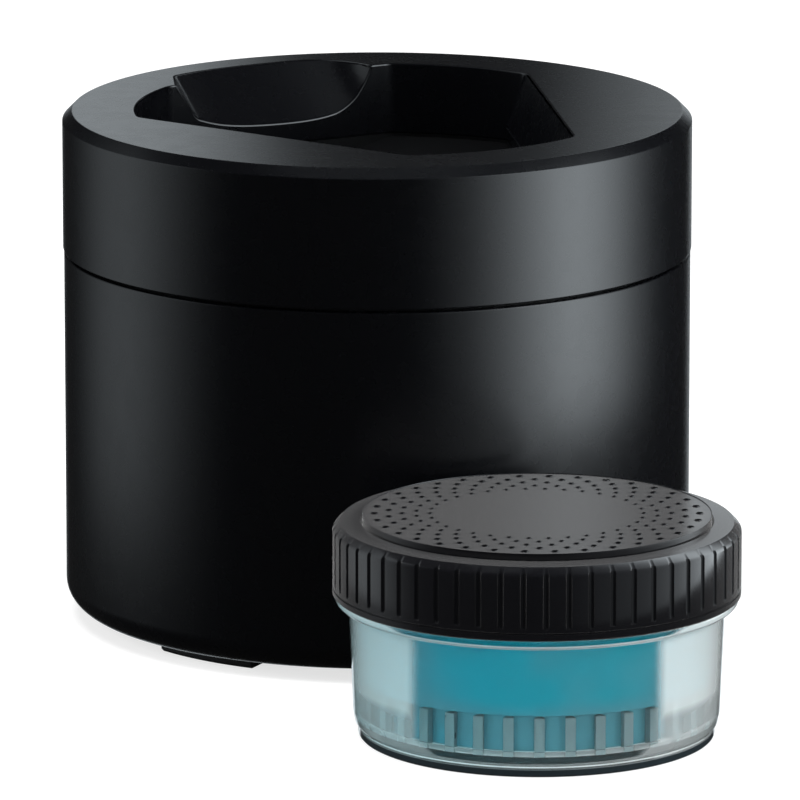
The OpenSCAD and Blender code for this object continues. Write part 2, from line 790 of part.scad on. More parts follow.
module plunger_spring() {
    low_z = pad_z - pocket_h;
    length = button_z - low_z;
    color("#b9bcbe") at([plunger_az], plunger_at)
        translate([0, 0, low_z + 0.02]) coil(spring_r - spring_wire_r, spring_wire_r, spring_turns, length - 0.04);
}

// ---- cartridge, standing beside the pod ----

module cartridge_place() {
    translate([cart_x, cart_y, 0]) children();
}

// Radius of the cup's outer wall at height h
function cup_wall_r(h) = cup_low_r + cup_draft * (h - cup_curve_h) / (cap_low_h - cup_curve_h);

module cartridge_cup() {
    flange_low = cap_low_h - cup_flange_t;
    color("#cfe3e6", 0.5) cartridge_place() difference() {
        union() {
            rotate_extrude() difference() {
                union() {
                    polygon([
                        [0, foot_ring_h], [foot_ring_r - foot_ring_w, foot_ring_h], [foot_ring_r - foot_ring_w, 0],
                        [foot_ring_r - 0.4, 0], [foot_ring_r, 0.4], [foot_ring_r, foot_ring_h],
                        [cup_low_r - 0.7, foot_ring_h + 0.6], [cup_low_r - 0.2, foot_ring_h + 1.6], [cup_low_r, cup_curve_h],
                        [cup_r, flange_low - 0.8], [cup_flange_r - 0.6, flange_low], [cup_flange_r, flange_low + 0.4],
                        [cup_flange_r, cap_low_h - 0.1], [neck_r, cap_low_h - 0.1], [neck_r, neck_top_h], [0, neck_top_h]]);
                }
                polygon([
                    [0, cup_floor_h], [cup_low_in_r - 1.2, cup_floor_h], [cup_low_in_r, cup_floor_h + 1.2],
                    [cup_in_r, cap_low_h], [neck_in_r, neck_top_h + 1], [0, neck_top_h + 1]]);
            }
            // ribs round the foot of the wall
            translate([0, 0, cup_floor_h - 0.2]) linear_extrude(rib_h) at_pattern(rib_n, 0)
                polygon([[cup_low_in_r - rib_d, -rib_tip_w / 2], [cup_low_in_r + 0.5, -rib_w / 2],
                         [cup_low_in_r + 0.5, rib_w / 2], [cup_low_in_r - rib_d, rib_tip_w / 2]]);
            cylinder(r = axle_boss_r, h = cup_floor_h);
            // lugs that hold the grip ring
            translate([0, 0, lug_h]) at_pattern(lug_n, 0) arc_block(neck_r + lug_reach, neck_r - 0.5, lug_t, lug_arc);
        }
        translate([0, 0, cup_floor_h - axle_sink]) cylinder(r = axle_r, h = axle_sink + 1);
    }
}

module cleaning_fluid() {
    turn_r = impeller_r + 0.8;
    turn_top = impeller_top_h + 1.6;
    rib_top = cup_floor_h + rib_h + 0.2;
    rib_r = cup_low_in_r - rib_d - fluid_gap;
    low = cup_floor_h + fluid_gap;
    color("#1b8fa3", 0.8) cartridge_place() rotate_extrude() polygon([
        [turn_r, low], [rib_r, low], [rib_r, rib_top], [cup_low_in_r - fluid_gap, rib_top],
        [cup_in_r - fluid_gap - 0.05, fluid_top_h], [0, fluid_top_h], [0, turn_top], [turn_r, turn_top]]);
}

module impeller_axle() {
    color("#b9bcbe") cartridge_place() translate([0, 0, cup_floor_h - axle_sink])
        cylinder(r = axle_r - 0.01, h = axle_top_h - cup_floor_h + axle_sink);
}

module impeller() {
    disc_h = impeller_h0 + ring_magnet_t;
    color("#e4e8e8") cartridge_place() difference() {
        union() {
            translate([0, 0, disc_h]) cylinder(r = impeller_r, h = impeller_disc_t);
            translate([0, 0, impeller_h0]) cylinder(r = hub_r, h = impeller_top_h - impeller_h0);
            translate([0, 0, disc_h + impeller_disc_t - eps]) linear_extrude(vane_h)
                at_pattern(vane_n, 0) translate([0, -vane_t / 2]) square([impeller_r - 0.3, vane_t]);
        }
        translate([0, 0, impeller_h0 - 1]) cylinder(r = axle_r + run_gap, h = impeller_top_h);
    }
}

module impeller_magnet() {
    color("#4a4d50") cartridge_place() translate([0, 0, impeller_h0]) ring(ring_magnet_r, ring_magnet_in_r, ring_magnet_t);
}

module cartridge_cap() {
    plate_z = cap_top_h - cap_plate_t;
    color("#3a3d41") cartridge_place() {
        difference() {
            rotate_extrude() polygon([
                [disc_r + disc_gap, cap_top_h], [cap_r - cap_bevel, cap_top_h - 0.3], [cap_r, cap_top_h - 0.3 - cap_bevel],
                [cap_r, cap_low_h], [cap_in_r, cap_low_h], [cap_in_r, plate_z], [disc_r - disc_ledge_w, plate_z],
                [disc_r - disc_ledge_w, cart_h - disc_t], [disc_r + disc_gap, cart_h - disc_t]]);
            at_pattern(groove_n, cap_r) translate([0, 0, cap_low_h + groove_foot_h]) cylinder(r = groove_r, h = cap_h, $fn = 16);
        }
        // lugs that turn under the cup's lugs
        translate([0, 0, lug_h - fit_gap - lug_t]) at_pattern(lug_n, 0)
            arc_block(cap_in_r + 0.5, cap_in_r - lug_reach, lug_t, lug_arc);
    }
}

module cap_disc() {
    color("#3f4246") cartridge_place() translate([0, 0, cart_h - disc_t]) linear_extrude(disc_t) difference() {
        circle(r = disc_r);
        for (i = [0 : ring_n - 1])
            at_pattern(hole_n, hole_ring_r - i * ring_pitch, i * 180 / hole_n) circle(r = hole_r - i * hole_shrink, $fn = 16);
    }
}

module cap_seal() {
    color("#303234") cartridge_place() translate([0, 0, neck_top_h + 0.02]) ring(neck_r, neck_in_r + 0.1, cap_seal_t - 0.04);
}

base_housing();
cartridge_well();
bottom_cover();
rubber_feet();
cover_screws();
battery_tray();
battery_cells();
battery_contacts();
battery_door();
motor_mount();
mount_screws();
drive_motor();
drive_rotor();
drive_magnets();
control_board();
board_screws();
start_switch();
switch_grommet();
well_seal();
top_housing();
shaver_basin();
basin_seal();
underplate();
underplate_screws();
start_plunger();
plunger_clip();
plunger_spring();
cartridge_cup();
cleaning_fluid();
impeller_axle();
impeller();
impeller_magnet();
cartridge_cap();
cap_disc();
cap_seal();
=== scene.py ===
"""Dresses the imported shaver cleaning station: pod, cartridge, finishes, floor, light and camera."""

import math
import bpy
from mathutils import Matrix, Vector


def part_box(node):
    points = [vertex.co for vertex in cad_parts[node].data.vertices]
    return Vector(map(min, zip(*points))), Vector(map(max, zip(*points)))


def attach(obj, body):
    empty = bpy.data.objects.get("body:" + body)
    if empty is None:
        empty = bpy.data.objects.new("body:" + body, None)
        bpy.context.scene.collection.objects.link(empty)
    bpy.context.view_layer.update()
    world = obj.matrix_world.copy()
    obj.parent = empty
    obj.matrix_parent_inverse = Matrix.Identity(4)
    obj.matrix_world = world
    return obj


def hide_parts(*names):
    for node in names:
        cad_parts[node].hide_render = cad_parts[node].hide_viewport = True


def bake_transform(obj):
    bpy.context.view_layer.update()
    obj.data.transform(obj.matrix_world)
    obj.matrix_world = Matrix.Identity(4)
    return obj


bl_info = {
    "name": "Shaver cleaning station",
    "version": (1, 0, 0),
    "blender": (4, 5, 0),
    "location": "3D View > Sidebar > Station",
    "description": "Builds the visible pieces of a shaver cleaning station on its packed frame",
    "category": "Object",
}

import bmesh
import bpy
from bpy.props import (
    FloatProperty,
    FloatVectorProperty,
    IntProperty,
    PointerProperty,
)
from mathutils import Matrix, Vector

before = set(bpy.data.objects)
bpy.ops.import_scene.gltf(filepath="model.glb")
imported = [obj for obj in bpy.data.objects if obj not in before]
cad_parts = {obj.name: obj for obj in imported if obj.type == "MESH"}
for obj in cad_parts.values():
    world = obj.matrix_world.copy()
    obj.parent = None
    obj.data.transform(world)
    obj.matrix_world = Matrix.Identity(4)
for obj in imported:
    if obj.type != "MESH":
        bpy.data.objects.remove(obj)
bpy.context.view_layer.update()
MM = 0.001


def node_box(name):
    low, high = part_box(name)
    return Vector(low), Vector(high)


TOP_Z = node_box("top_housing")[1].z / MM
SEAM_Z = node_box("top_housing")[0].z / MM
POD_R = (node_box("base_housing")[1].x / MM) + 0.2
CART_LOW, CART_HIGH = node_box("cartridge_cap")
CART_X = (CART_LOW.x + CART_HIGH.x) / 2 / MM
CART_Y = (CART_LOW.y + CART_HIGH.y) / 2 / MM


# ---- sizes and colours ----


def length(name, description, default, **limits):
    return FloatProperty(name=name, description=description + ", in mm", default=default, **limits)


def number(name, description, default, low, high):
    return IntProperty(name=name, description=description, default=default, min=low, max=high)


def hue(name, description, default):
    return FloatVectorProperty(
        name=name, description=description, subtype="COLOR", size=3, default=default, min=0, max=1
    )


class PodSizes(bpy.types.PropertyGroup):
    """Sizes of the pod's two housings, in millimetres"""

    segments: number("Segments", "Steps round the housings", 256, 96, 512)
    edge_round: length("Edge round", "Small radius on the housings' edges", 0.45, min=0.1, max=0.8)
    rim_chamfer: length("Rim chamfer", "Chamfer round the top", 2.0, min=0.5, max=3.0)
    base_edge: length("Base edge", "Radius round the bottom edge", 5.5, min=3.0, max=6.5)


class OpeningSizes(bpy.types.PropertyGroup):
    """Sizes of the shaver opening, in millimetres"""

    lobe_r: length("Lobe reach", "Reach of the rounded corners", 50.0)
    outline_r: length("Outline round", "Radius that rounds the outline", 4.5)
    back_side: length("Back side", "Distance of the back side from the axis", 42.6)
    right_side: length("Right side", "Distance of the right side from the axis", 36.0)
    front_side: length("Front side", "Distance of the front left side from the axis", 36.4)
    side_lean: length("Side lean", "How far the sides lean in to the lip", 4.0)
    side_depth: length("Side depth", "Depth of the leaning sides' lip", 12.0)
    collar_h: length("Collar depth", "Depth of the upper housing's share of the well", 15.0)
    scoop_r: length("Scoop reach", "Radius of the finger scoop's outer edge", 56.0)
    scoop_half_w: length("Scoop half width", "Half width of the finger scoop at the lip", 23.6)
    scoop_depth: length("Scoop depth", "Depth of the finger scoop's lip", 10.6)
    scoop_corner_r: length("Scoop corner", "Radius in the scoop's lower corners", 9.5)


class CartridgeSizes(bpy.types.PropertyGroup):
    """Sizes of the cleaning cartridge, in millimetres"""

    cap_r: length("Grip ring radius", "Outer radius of the grip ring", 40.4)
    cart_h: length("Height", "Height of the whole cartridge", 44.5)
    cap_h: length("Grip ring height", "Height of the grip ring", 14.8)
    groove_n: number("Grooves", "Grooves round the grip ring", 57, 12, 90)
    groove_r: length("Groove radius", "Radius of a grip groove", 0.6)
    disc_r: length("Disc radius", "Radius of the perforated disc", 34.5)
    hole_n: number("Holes in a ring", "Holes in each ring of the disc", 34, 6, 60)
    rib_n: number("Foot ribs", "Ribs inside the cup's foot", 36, 6, 60)


class Finishes(bpy.types.PropertyGroup):
    """Colours of the finishes"""

    pod: hue("Pod", "Black of the pod's housings", (0.0012, 0.0013, 0.0018))
    inside: hue("Inside", "Black of the hidden mouldings", (0.006, 0.0062, 0.007))
    cap: hue("Cap", "Grey of the grip ring and disc", (0.003, 0.0031, 0.004))
    fluid: hue("Fluid", "Teal of the cleaning fluid", (0.002, 0.28, 0.355))
    cup: hue("Cup", "Tint of the clear cup", (0.86, 0.94, 0.95))


def pod():
    return bpy.context.scene.station_pod


def opening():
    return bpy.context.scene.station_opening


def cartridge():
    return bpy.context.scene.station_cartridge


def finishes():
    return bpy.context.scene.station_finishes


# ---- materials ----


def new_material(name):
    mat = bpy.data.materials.new(name)
    mat.use_nodes = True
    tree = mat.node_tree
    return mat, tree, tree.nodes["Principled BSDF"]


def bare_material(name):
    """Material with nothing but its output node."""
    mat = bpy.data.materials.new(name)
    mat.use_nodes = True
    mat.node_tree.nodes.clear()
    return mat, mat.node_tree, add(mat.node_tree, "ShaderNodeOutputMaterial")


def put(tree, socket, value):
    """Sets an input, or links it where the value is another node's output."""
    if isinstance(value, bpy.types.NodeSocket):
        tree.links.new(value, socket)
    else:
        socket.default_value = value


def fit(tree, node, **values):
    """Gives a node its settings, and its inputs by name with _ for a space."""
    for key, value in values.items():
        if hasattr(node, key):
            setattr(node, key, value)
        else:
            put(tree, node.inputs[key.replace("_", " ")], value)
    return node


def add(tree, kind, **values):
    return fit(tree, tree.nodes.new(kind), **values)


def calc(tree, operation, *terms):
    """Math on numbers or on other nodes' outputs."""
    node = add(tree, "ShaderNodeMath", operation=operation)
    for socket, term in zip(node.inputs, terms):
        put(tree, socket, term)
    return node.outputs[0]


def coords(tree, scale=1.0, stretch=(1, 1, 1)):
    """Object coordinates in millimetres, scaled for a pattern."""
    where = add(tree, "ShaderNodeTexCoord").outputs["Object"]
    size = [1000 * scale * s for s in stretch]
    return add(tree, "ShaderNodeMapping", Scale=size, Vector=where).outputs["Vector"]


def noise(tree, scale, detail=3.0, stretch=(1, 1, 1)):
    where = coords(tree, scale, stretch)
    return add(tree, "ShaderNodeTexNoise", Scale=1.0, Detail=detail, Vector=where).outputs["Fac"]


def spread(tree, value, low, high):
    """Noise, most of which lies from 0.3 to 0.7, spread over a range."""
    return add(
        tree, "ShaderNodeMapRange", Value=value, From_Min=0.3, From_Max=0.7, To_Min=low, To_Max=high
    ).outputs["Result"]


def ramp(tree, value, low, high, start, end):
    """Smooth change from start to end as a value goes from low to high."""
    return add(
        tree, "ShaderNodeMapRange", interpolation_type="SMOOTHSTEP",
        Value=value, From_Min=low, From_Max=high, To_Min=start, To_Max=end,
    ).outputs["Result"]


def mix(tree, value, a, b):
    return add(tree, "ShaderNodeMix", data_type="RGBA", A=a, B=b, Factor=value).outputs["Result"]


def shade(tree, value, dark, light):
    return mix(tree, value, (*dark, 1), (*light, 1))


def grain(tree, value, height, strength):
    """Bump of a height in millimetres."""
    return add(
        tree, "ShaderNodeBump", Strength=strength, Distance=height * MM, Height=value
    ).outputs["Normal"]


def object_axis(tree, axis):
    """One of the Object coordinates, in metres."""
    where = add(tree, "ShaderNodeTexCoord").outputs["Object"]
    return add(tree, "ShaderNodeSeparateXYZ", Vector=where).outputs[axis]


def facing(tree):
    return add(tree, "ShaderNodeLayerWeight", Blend=0.5).outputs["Facing"]


def tint(colour, factor):
    return tuple(min(1.0, c * factor) for c in colour)


def moulded(name, colour, rough, spark=10.0, height=0.004, strength=0.25, specular=0.5, sheen=0.0):
    """Moulded plastic: fine spark-eroded grain, slight patches in gloss and shade."""
    mat, tree, bsdf = new_material(name)
    fit(
        tree, bsdf,
        Base_Color=shade(tree, noise(tree, 0.05, 2.0), tint(colour, 0.88), tint(colour, 1.12)),
        Roughness=spread(tree, noise(tree, 0.25, 2.0), rough * 0.96, rough * 1.05),
        Normal=grain(tree, noise(tree, spark, 2.0), height, strength),
        Specular_IOR_Level=specular, Sheen_Weight=sheen, Sheen_Roughness=0.35,
    )
    return mat


def metal(name, colour, rough, stretch=(1, 1, 12)):
    """Drawn or turned metal with fine lines."""
    mat, tree, bsdf = new_material(name)
    lines = noise(tree, 1.2, 5.0, stretch)
    fit(
        tree, bsdf, Metallic=1.0,
        Base_Color=shade(tree, lines, tint(colour, 0.8), tint(colour, 1.1)),
        Roughness=spread(tree, lines, rough * 0.8, rough * 1.25),
        Normal=grain(tree, lines, 0.01, 0.2),
    )
    return mat


def rubber(name, colour):
    mat, tree, bsdf = new_material(name)
    fit(
        tree, bsdf,
        Base_Color=shade(tree, noise(tree, 0.4, 3.0), tint(colour, 0.8), tint(colour, 1.25)),
        Roughness=spread(tree, noise(tree, 2.0, 3.0), 0.6, 0.75),
        Normal=grain(tree, noise(tree, 6.0, 3.0), 0.02, 0.4),
    )
    return mat


def board_mask(name):
    """Green solder mask over copper tracks."""
    mat, tree, bsdf = new_material(name)
    where = coords(tree, 0.35)
    cells = add(
        tree, "ShaderNodeTexVoronoi", feature="DISTANCE_TO_EDGE", Scale=1.0, Vector=where
    )
    edges = add(
        tree, "ShaderNodeMapRange", From_Min=0.06, From_Max=0.09, Value=cells.outputs["Distance"]
    ).outputs["Result"]
    fit(
        tree, bsdf, Roughness=0.3, Normal=grain(tree, edges, 0.05, 0.5),
        Base_Color=shade(tree, edges, (0.03, 0.25, 0.1), (0.006, 0.09, 0.03)),
    )
    return mat


# levels between which the cartridge's finishes change, in metres above the floor: the cup's painted contact
# shade in its foot ring, and the fading of the cup's haze and painted reflection low on its foot
FOOT_SHADE_LEVELS = (0.0014, 0.0018)
FOOT_HAZE_AND_REFLECTION_FADE = (0.009, 0.0145)
FLUID_HAZE = (0.0105, 0.0165)
# from the cartridge's axis to where the painted shade on its cup's left side starts and ends, in mm to the
# right
CUP_PAINTED_SHADE = (-30, 26)
# painted contact shade in the cup's foot ring
FOOT_PAINTED_SHADE = (0.02, 0.03, 0.036)
RIB_TINT = (0.42, 0.53, 0.55)
PLASTIC_IOR, WATER_IOR = 1.46, 1.33


def clear_cup(name):
    """Clear moulded cup: hazy where its wall is seen aslant, partly a painted reflection of the side lamps,
    less hazy low on its foot; painted shade darkens its left side and painted contact shade darkens its foot
    ring.
    """
    mat, tree, bsdf = new_material(name)
    f = finishes().cup
    level = object_axis(tree, "Z")
    # painted shade: the wall's colour is darker on the cup's left than on its right
    left, right = ((CART_X + d) * MM for d in CUP_PAINTED_SHADE)
    across = ramp(tree, object_axis(tree, "X"), left, right, 0.0, 1.0)
    wall = shade(tree, across, (f[0] * 0.76, f[1] * 0.93, f[2] * 0.96), tuple(f))
    # less see-through where the wall is seen aslant, so its pale colour shows: partly haze of the wall,
    # partly a painted reflection of the side lamps
    haze_and_painted_reflection = ramp(tree, facing(tree), 0.27, 0.34, 1.0, 0.45)
    # the haze and painted reflection fade low on the foot, where the wall stays more see-through
    foot = ramp(tree, level, *FOOT_HAZE_AND_REFLECTION_FADE, 0.7, 0.0)
    # the band of painted contact shade is made nearly opaque too
    solid = ramp(tree, level, *FOOT_SHADE_LEVELS, 0.1, 1.0)
    fit(
        tree, bsdf,
        Base_Color=mix(tree, ramp(tree, level, *FOOT_SHADE_LEVELS, 0.0, 1.0), (*FOOT_PAINTED_SHADE, 1), wall),
        Roughness=spread(tree, noise(tree, 0.12, 2.0, (1, 1, 0.4)), 0.1, 0.16),
        Transmission_Weight=calc(tree, "MINIMUM", calc(tree, "MAXIMUM", haze_and_painted_reflection, foot), solid),
        IOR=PLASTIC_IOR, Coat_Weight=1.0, Coat_Roughness=0.03,
    )
    return mat


def clear_rib(name):
    """Clear moulded rib, paler than the fluid behind it."""
    mat, tree, bsdf = new_material(name)
    fit(
        tree, bsdf, Base_Color=(*RIB_TINT, 1), Transmission_Weight=0.55, IOR=PLASTIC_IOR,
        Roughness=spread(tree, noise(tree, 0.12, 2.0), 0.25, 0.4),
    )
    return mat


def teal_fluid(name):
    """Coloured cleaning fluid: deep in the middle, hazier towards its sides and its foot."""
    mat, tree, bsdf = new_material(name)
    f = finishes().fluid
    above = ramp(tree, object_axis(tree, "Z"), *FLUID_HAZE, 0.0, 1.0)
    middle = ramp(tree, facing(tree), 0.15, 0.4, 1.0, 0.0)
    clouds = spread(tree, noise(tree, 0.06, 1.0), -0.6, 0.3)
    depth = calc(tree, "ADD", calc(tree, "MULTIPLY", above, middle), clouds)
    fit(
        tree, bsdf, Specular_IOR_Level=0.1, IOR=WATER_IOR,
        Base_Color=shade(tree, depth, (0.085, f[1] * 0.9, f[2] * 0.85), tuple(f)),
        Roughness=spread(tree, noise(tree, 0.05, 2.0), 0.5, 0.6),
    )
    return mat


MATERIALS = {}


def make_materials():
    f = finishes()
    MATERIALS.update(
        pod=moulded("pod_satin_black", f.pod, 0.27, 9.0, 0.0008, 0.1),
        edge=moulded("pod_edge_black", f.pod, 0.15, 9.0, 0.0008, 0.1),
        well=moulded("well_black", tint(f.inside, 0.25), 0.45, 6.0, 0.006, 0.3, 0.3),
        inside=moulded("inner_black", f.inside, 0.5, 6.0, 0.006, 0.35),
        grey=moulded("inner_grey", (0.02, 0.021, 0.023), 0.45, 6.0, 0.006, 0.3),
        cap=moulded("cap_satin_grey", f.cap, 0.16, 9.0, 0.001, 0.1, 0.5, 0.25),
        white=moulded("impeller_white", (0.72, 0.75, 0.75), 0.4, 6.0, 0.004, 0.2),
        steel=metal("screw_steel", (0.55, 0.56, 0.57), 0.3),
        spring=metal("spring_steel", (0.6, 0.6, 0.61), 0.25, (8, 8, 1)),
        can=metal("motor_can", (0.5, 0.51, 0.52), 0.38, (1, 1, 20)),
        magnet=metal("magnet_dark", (0.1, 0.1, 0.105), 0.5, (4, 4, 4)),
        cell=moulded("cell_jacket", (0.02, 0.09, 0.2), 0.3, 8.0, 0.002, 0.1),
        rubber=rubber("black_rubber", (0.014, 0.014, 0.015)),
        board=board_mask("solder_mask"),
        cup=clear_cup("clear_cup"),
        rib=clear_rib("clear_rib"),
        fluid=teal_fluid("teal_fluid"),
    )


# ---- mesh helpers ----

NEAR = 1e-5


def new_object(name, data):
    obj = bpy.data.objects.new(name, data)
    bpy.context.scene.collection.objects.link(obj)
    return obj


def new_mesh(bm, name):
    mesh = bpy.data.meshes.new(name)
    bm.to_mesh(mesh)
    bm.free()
    return mesh


def rounded(points, steps=5):
    """Profile points (r, z, radius) with each corner turned into an arc."""
    out = []
    n = len(points)
    for i, (x, y, rad) in enumerate(points):
        here = Vector((x, y))
        if rad <= 0:
            out.append(here)
            continue
        to_prev = (Vector(points[i - 1][:2]) - here).normalized()
        to_next = (Vector(points[(i + 1) % n][:2]) - here).normalized()
        half = to_prev.angle(to_next) / 2
        centre = here + (to_prev + to_next).normalized() * (rad / math.sin(half))
        start = here + to_prev * (rad / math.tan(half)) - centre
        end = here + to_next * (rad / math.tan(half)) - centre
        turn = start.angle_signed(end)
        count = max(2, round(steps * abs(turn) / (math.pi / 2)))
        for k in range(count + 1):
            out.append(centre + Matrix.Rotation(-turn * k / count, 2) @ start)
    return out


def finish_mesh(bm, name, mats, sharp=30.0, place=(0, 0)):
    """Object from a bmesh in millimetres, moved to its place in metres."""
    bmesh.ops.remove_doubles(bm, verts=bm.verts, dist=1e-4)
    bmesh.ops.recalc_face_normals(bm, faces=bm.faces)
    for v in bm.verts:
        v.co = Vector((v.co.x + place[0], v.co.y + place[1], v.co.z)) * MM
    return mesh_object(new_mesh(bm, name), name, mats, sharp)


def mesh_object(mesh, name, mats, sharp=30.0):
    mesh.materials.clear()
    for m in mats:
        mesh.materials.append(MATERIALS[m])
    mesh.shade_smooth()
    mesh.set_sharp_from_angle(angle=math.radians(sharp))
    return new_object(name, mesh)


def revolve(bm, profile, segments):
    """Closed profile of (r, z) turned round the axis."""
    rings = []
    for p in profile:
        if p.x < NEAR:
            rings.append([bm.verts.new((0, 0, p.y))])
            continue
        turns = [2 * math.pi * k / segments for k in range(segments)]
        rings.append([bm.verts.new((p.x * math.cos(a), p.x * math.sin(a), p.y)) for a in turns])
    for a, b in zip(rings, rings[1:] + rings[:1]):
        if len(a) == 1 and len(b) == 1:
            continue
        for k in range(segments):
            j = (k + 1) % segments
            quad = [a[k % len(a)], a[j % len(a)], b[j % len(b)], b[k % len(b)]]
            bm.faces.new(list(dict.fromkeys(quad)))


def revolved(name, points, mats, segments=256, place=(0, 0), sharp=30.0, steps=5):
    bm = bmesh.new()
    revolve(bm, rounded(points, steps), segments)
    return finish_mesh(bm, name, mats, sharp, place)


def prism(bm, outline, z_low, z_high):
    """Solid between two levels over a closed outline of (x, y)."""
    low = [bm.verts.new((p.x, p.y, z_low)) for p in outline]
    high = [bm.verts.new((p.x, p.y, z_high)) for p in outline]
    bm.faces.new(low)
    bm.faces.new(high)
    for k in range(len(outline)):
        j = (k + 1) % len(outline)
        bm.faces.new((low[k], low[j], high[j], high[k]))


def trim(bm, point, normal):
    """Cuts off what lies on the normal's side of a plane and closes the cut."""
    geom = bm.verts[:] + bm.edges[:] + bm.faces[:]
    cut = bmesh.ops.bisect_plane(bm, geom=geom, plane_co=point, plane_no=normal, clear_outer=True)
    edges = [e for e in cut["geom_cut"] if isinstance(e, bmesh.types.BMEdge)]
    bmesh.ops.contextual_create(bm, geom=edges)


def scratch(bm, name):
    """Temporary object for a boolean, in millimetres."""
    bmesh.ops.remove_doubles(bm, verts=bm.verts, dist=NEAR)
    bmesh.ops.recalc_face_normals(bm, faces=bm.faces)
    return new_object(name, new_mesh(bm, name))


def evaluated(obj):
    deps = bpy.context.evaluated_depsgraph_get()
    return bpy.data.meshes.new_from_object(obj.evaluated_get(deps), depsgraph=deps)


def keep_result(obj, mod):
    """Makes a modifier's result the object's own mesh."""
    old = obj.data
    mesh = evaluated(obj)
    obj.modifiers.remove(mod)
    obj.data = mesh
    bpy.data.meshes.remove(old)


def carve(body, tool, operation):
    """Boolean of a temporary object with another, which is then deleted."""
    mod = body.modifiers.new(operation.lower(), "BOOLEAN")
    mod.operation = operation
    mod.solver = "EXACT"
    mod.object = tool
    keep_result(body, mod)
    bpy.data.objects.remove(tool)
    if not len(body.data.polygons):
        raise RuntimeError("a boolean left nothing: " + operation)


def soften(obj, width, angle):
    """Bevel in millimetres on the edges sharper than an angle in degrees."""
    mod = obj.modifiers.new("edges", "BEVEL")
    mod.width = width * MM
    mod.segments = 2
    mod.limit_method = "ANGLE"
    mod.angle_limit = math.radians(angle)
    mod.use_clamp_overlap = False
    return mod


# ---- geometry nodes for what repeats ----


def node_group(name, **sockets):
    """Geometry nodes tree and its inputs, each given with its kind and _ for a space."""
    tree = bpy.data.node_groups.new(name, "GeometryNodeTree")
    for label, kind in sockets.items():
        tree.interface.new_socket(
            label.replace("_", " "), in_out="INPUT", socket_type="NodeSocket" + kind
        )
    tree.interface.new_socket("Geometry", in_out="OUTPUT", socket_type="NodeSocketGeometry")
    return tree, tree.nodes.new("NodeGroupInput").outputs


def close_group(tree, geometry, material):
    paint = add(tree, "GeometryNodeSetMaterial", Geometry=geometry, Material=material)
    tree.links.new(paint.outputs[0], tree.nodes.new("NodeGroupOutput").inputs[0])
    return tree


def join(tree, *parts):
    node = tree.nodes.new("GeometryNodeJoinGeometry")
    for part in parts:
        tree.links.new(part.outputs[0], node.inputs[0])
    return node.outputs[0]


def ring_tree(name):
    """Turns its geometry into a ring of copies round an axis."""
    tree, given = node_group(
        name, Geometry="Geometry", Count="Int", Centre="Vector", Weld="Float", Material="Material"
    )
    points = add(tree, "GeometryNodePoints", Count=given["Count"], Position=given["Centre"])
    index = add(tree, "GeometryNodeInputIndex").outputs[0]
    step = calc(tree, "DIVIDE", 2 * math.pi, given["Count"])
    spin = add(tree, "ShaderNodeCombineXYZ", Z=calc(tree, "MULTIPLY", index, step))
    copies = add(
        tree, "GeometryNodeInstanceOnPoints",
        Points=points.outputs[0], Instance=given["Geometry"], Rotation=spin.outputs[0],
    )
    real = add(tree, "GeometryNodeRealizeInstances", Geometry=copies.outputs[0])
    weld = add(tree, "GeometryNodeMergeByDistance", Geometry=real.outputs[0], Distance=given["Weld"])
    return close_group(tree, weld.outputs[0], given["Material"])


def sieve_tree(name):
    """Flat plate with rings of holes that get smaller inwards."""
    tree, given = node_group(
        name, Radius="Float", Thickness="Float", Holes="Int", Rings="Int", Outer_Ring="Float",
        Pitch="Float", Hole_Radius="Float", Shrink="Float", Centre="Vector", Material="Material",
    )
    holes = given["Holes"]
    index = add(tree, "GeometryNodeInputIndex").outputs[0]
    ring = calc(tree, "FLOOR", calc(tree, "DIVIDE", index, holes))
    step = calc(tree, "DIVIDE", 2 * math.pi, holes)
    # each ring is turned by half a step
    turned = calc(tree, "ADD", index, calc(tree, "MULTIPLY", ring, 0.5))
    angle = calc(tree, "MULTIPLY", turned, step)
    inwards = calc(tree, "MULTIPLY", ring, given["Pitch"])
    radius = calc(tree, "SUBTRACT", given["Outer Ring"], inwards)
    smaller = calc(tree, "MULTIPLY", ring, given["Shrink"])
    hole_r = calc(tree, "SUBTRACT", given["Hole Radius"], smaller)
    x, y = (calc(tree, "MULTIPLY", radius, calc(tree, kind, angle)) for kind in ("COSINE", "SINE"))
    points = add(
        tree, "GeometryNodePoints", Count=calc(tree, "MULTIPLY", holes, given["Rings"]),
        Position=add(tree, "ShaderNodeCombineXYZ", X=x, Y=y).outputs[0],
    )
    circle = add(tree, "GeometryNodeCurvePrimitiveCircle", Resolution=14, Radius=1.0)
    copies = add(
        tree, "GeometryNodeInstanceOnPoints",
        Points=points.outputs[0], Instance=circle.outputs[0], Scale=hole_r,
    )
    real = add(tree, "GeometryNodeRealizeInstances", Geometry=copies.outputs[0])
    rim = add(tree, "GeometryNodeCurvePrimitiveCircle", Resolution=192, Radius=given["Radius"])
    face = add(tree, "GeometryNodeFillCurve", Curve=join(tree, real, rim))
    down = add(tree, "ShaderNodeCombineXYZ", Z=calc(tree, "MULTIPLY", given["Thickness"], -1.0))
    wall = add(
        tree, "GeometryNodeExtrudeMesh", mode="FACES",
        Mesh=face.outputs[0], Offset=down.outputs[0], Individual=False,
    )
    weld = add(tree, "GeometryNodeMergeByDistance", Geometry=join(tree, wall, face), Distance=1e-6)
    move = add(tree, "GeometryNodeTransform", Geometry=weld.outputs[0], Translation=given["Centre"])
    return close_group(tree, move.outputs[0], given["Material"])


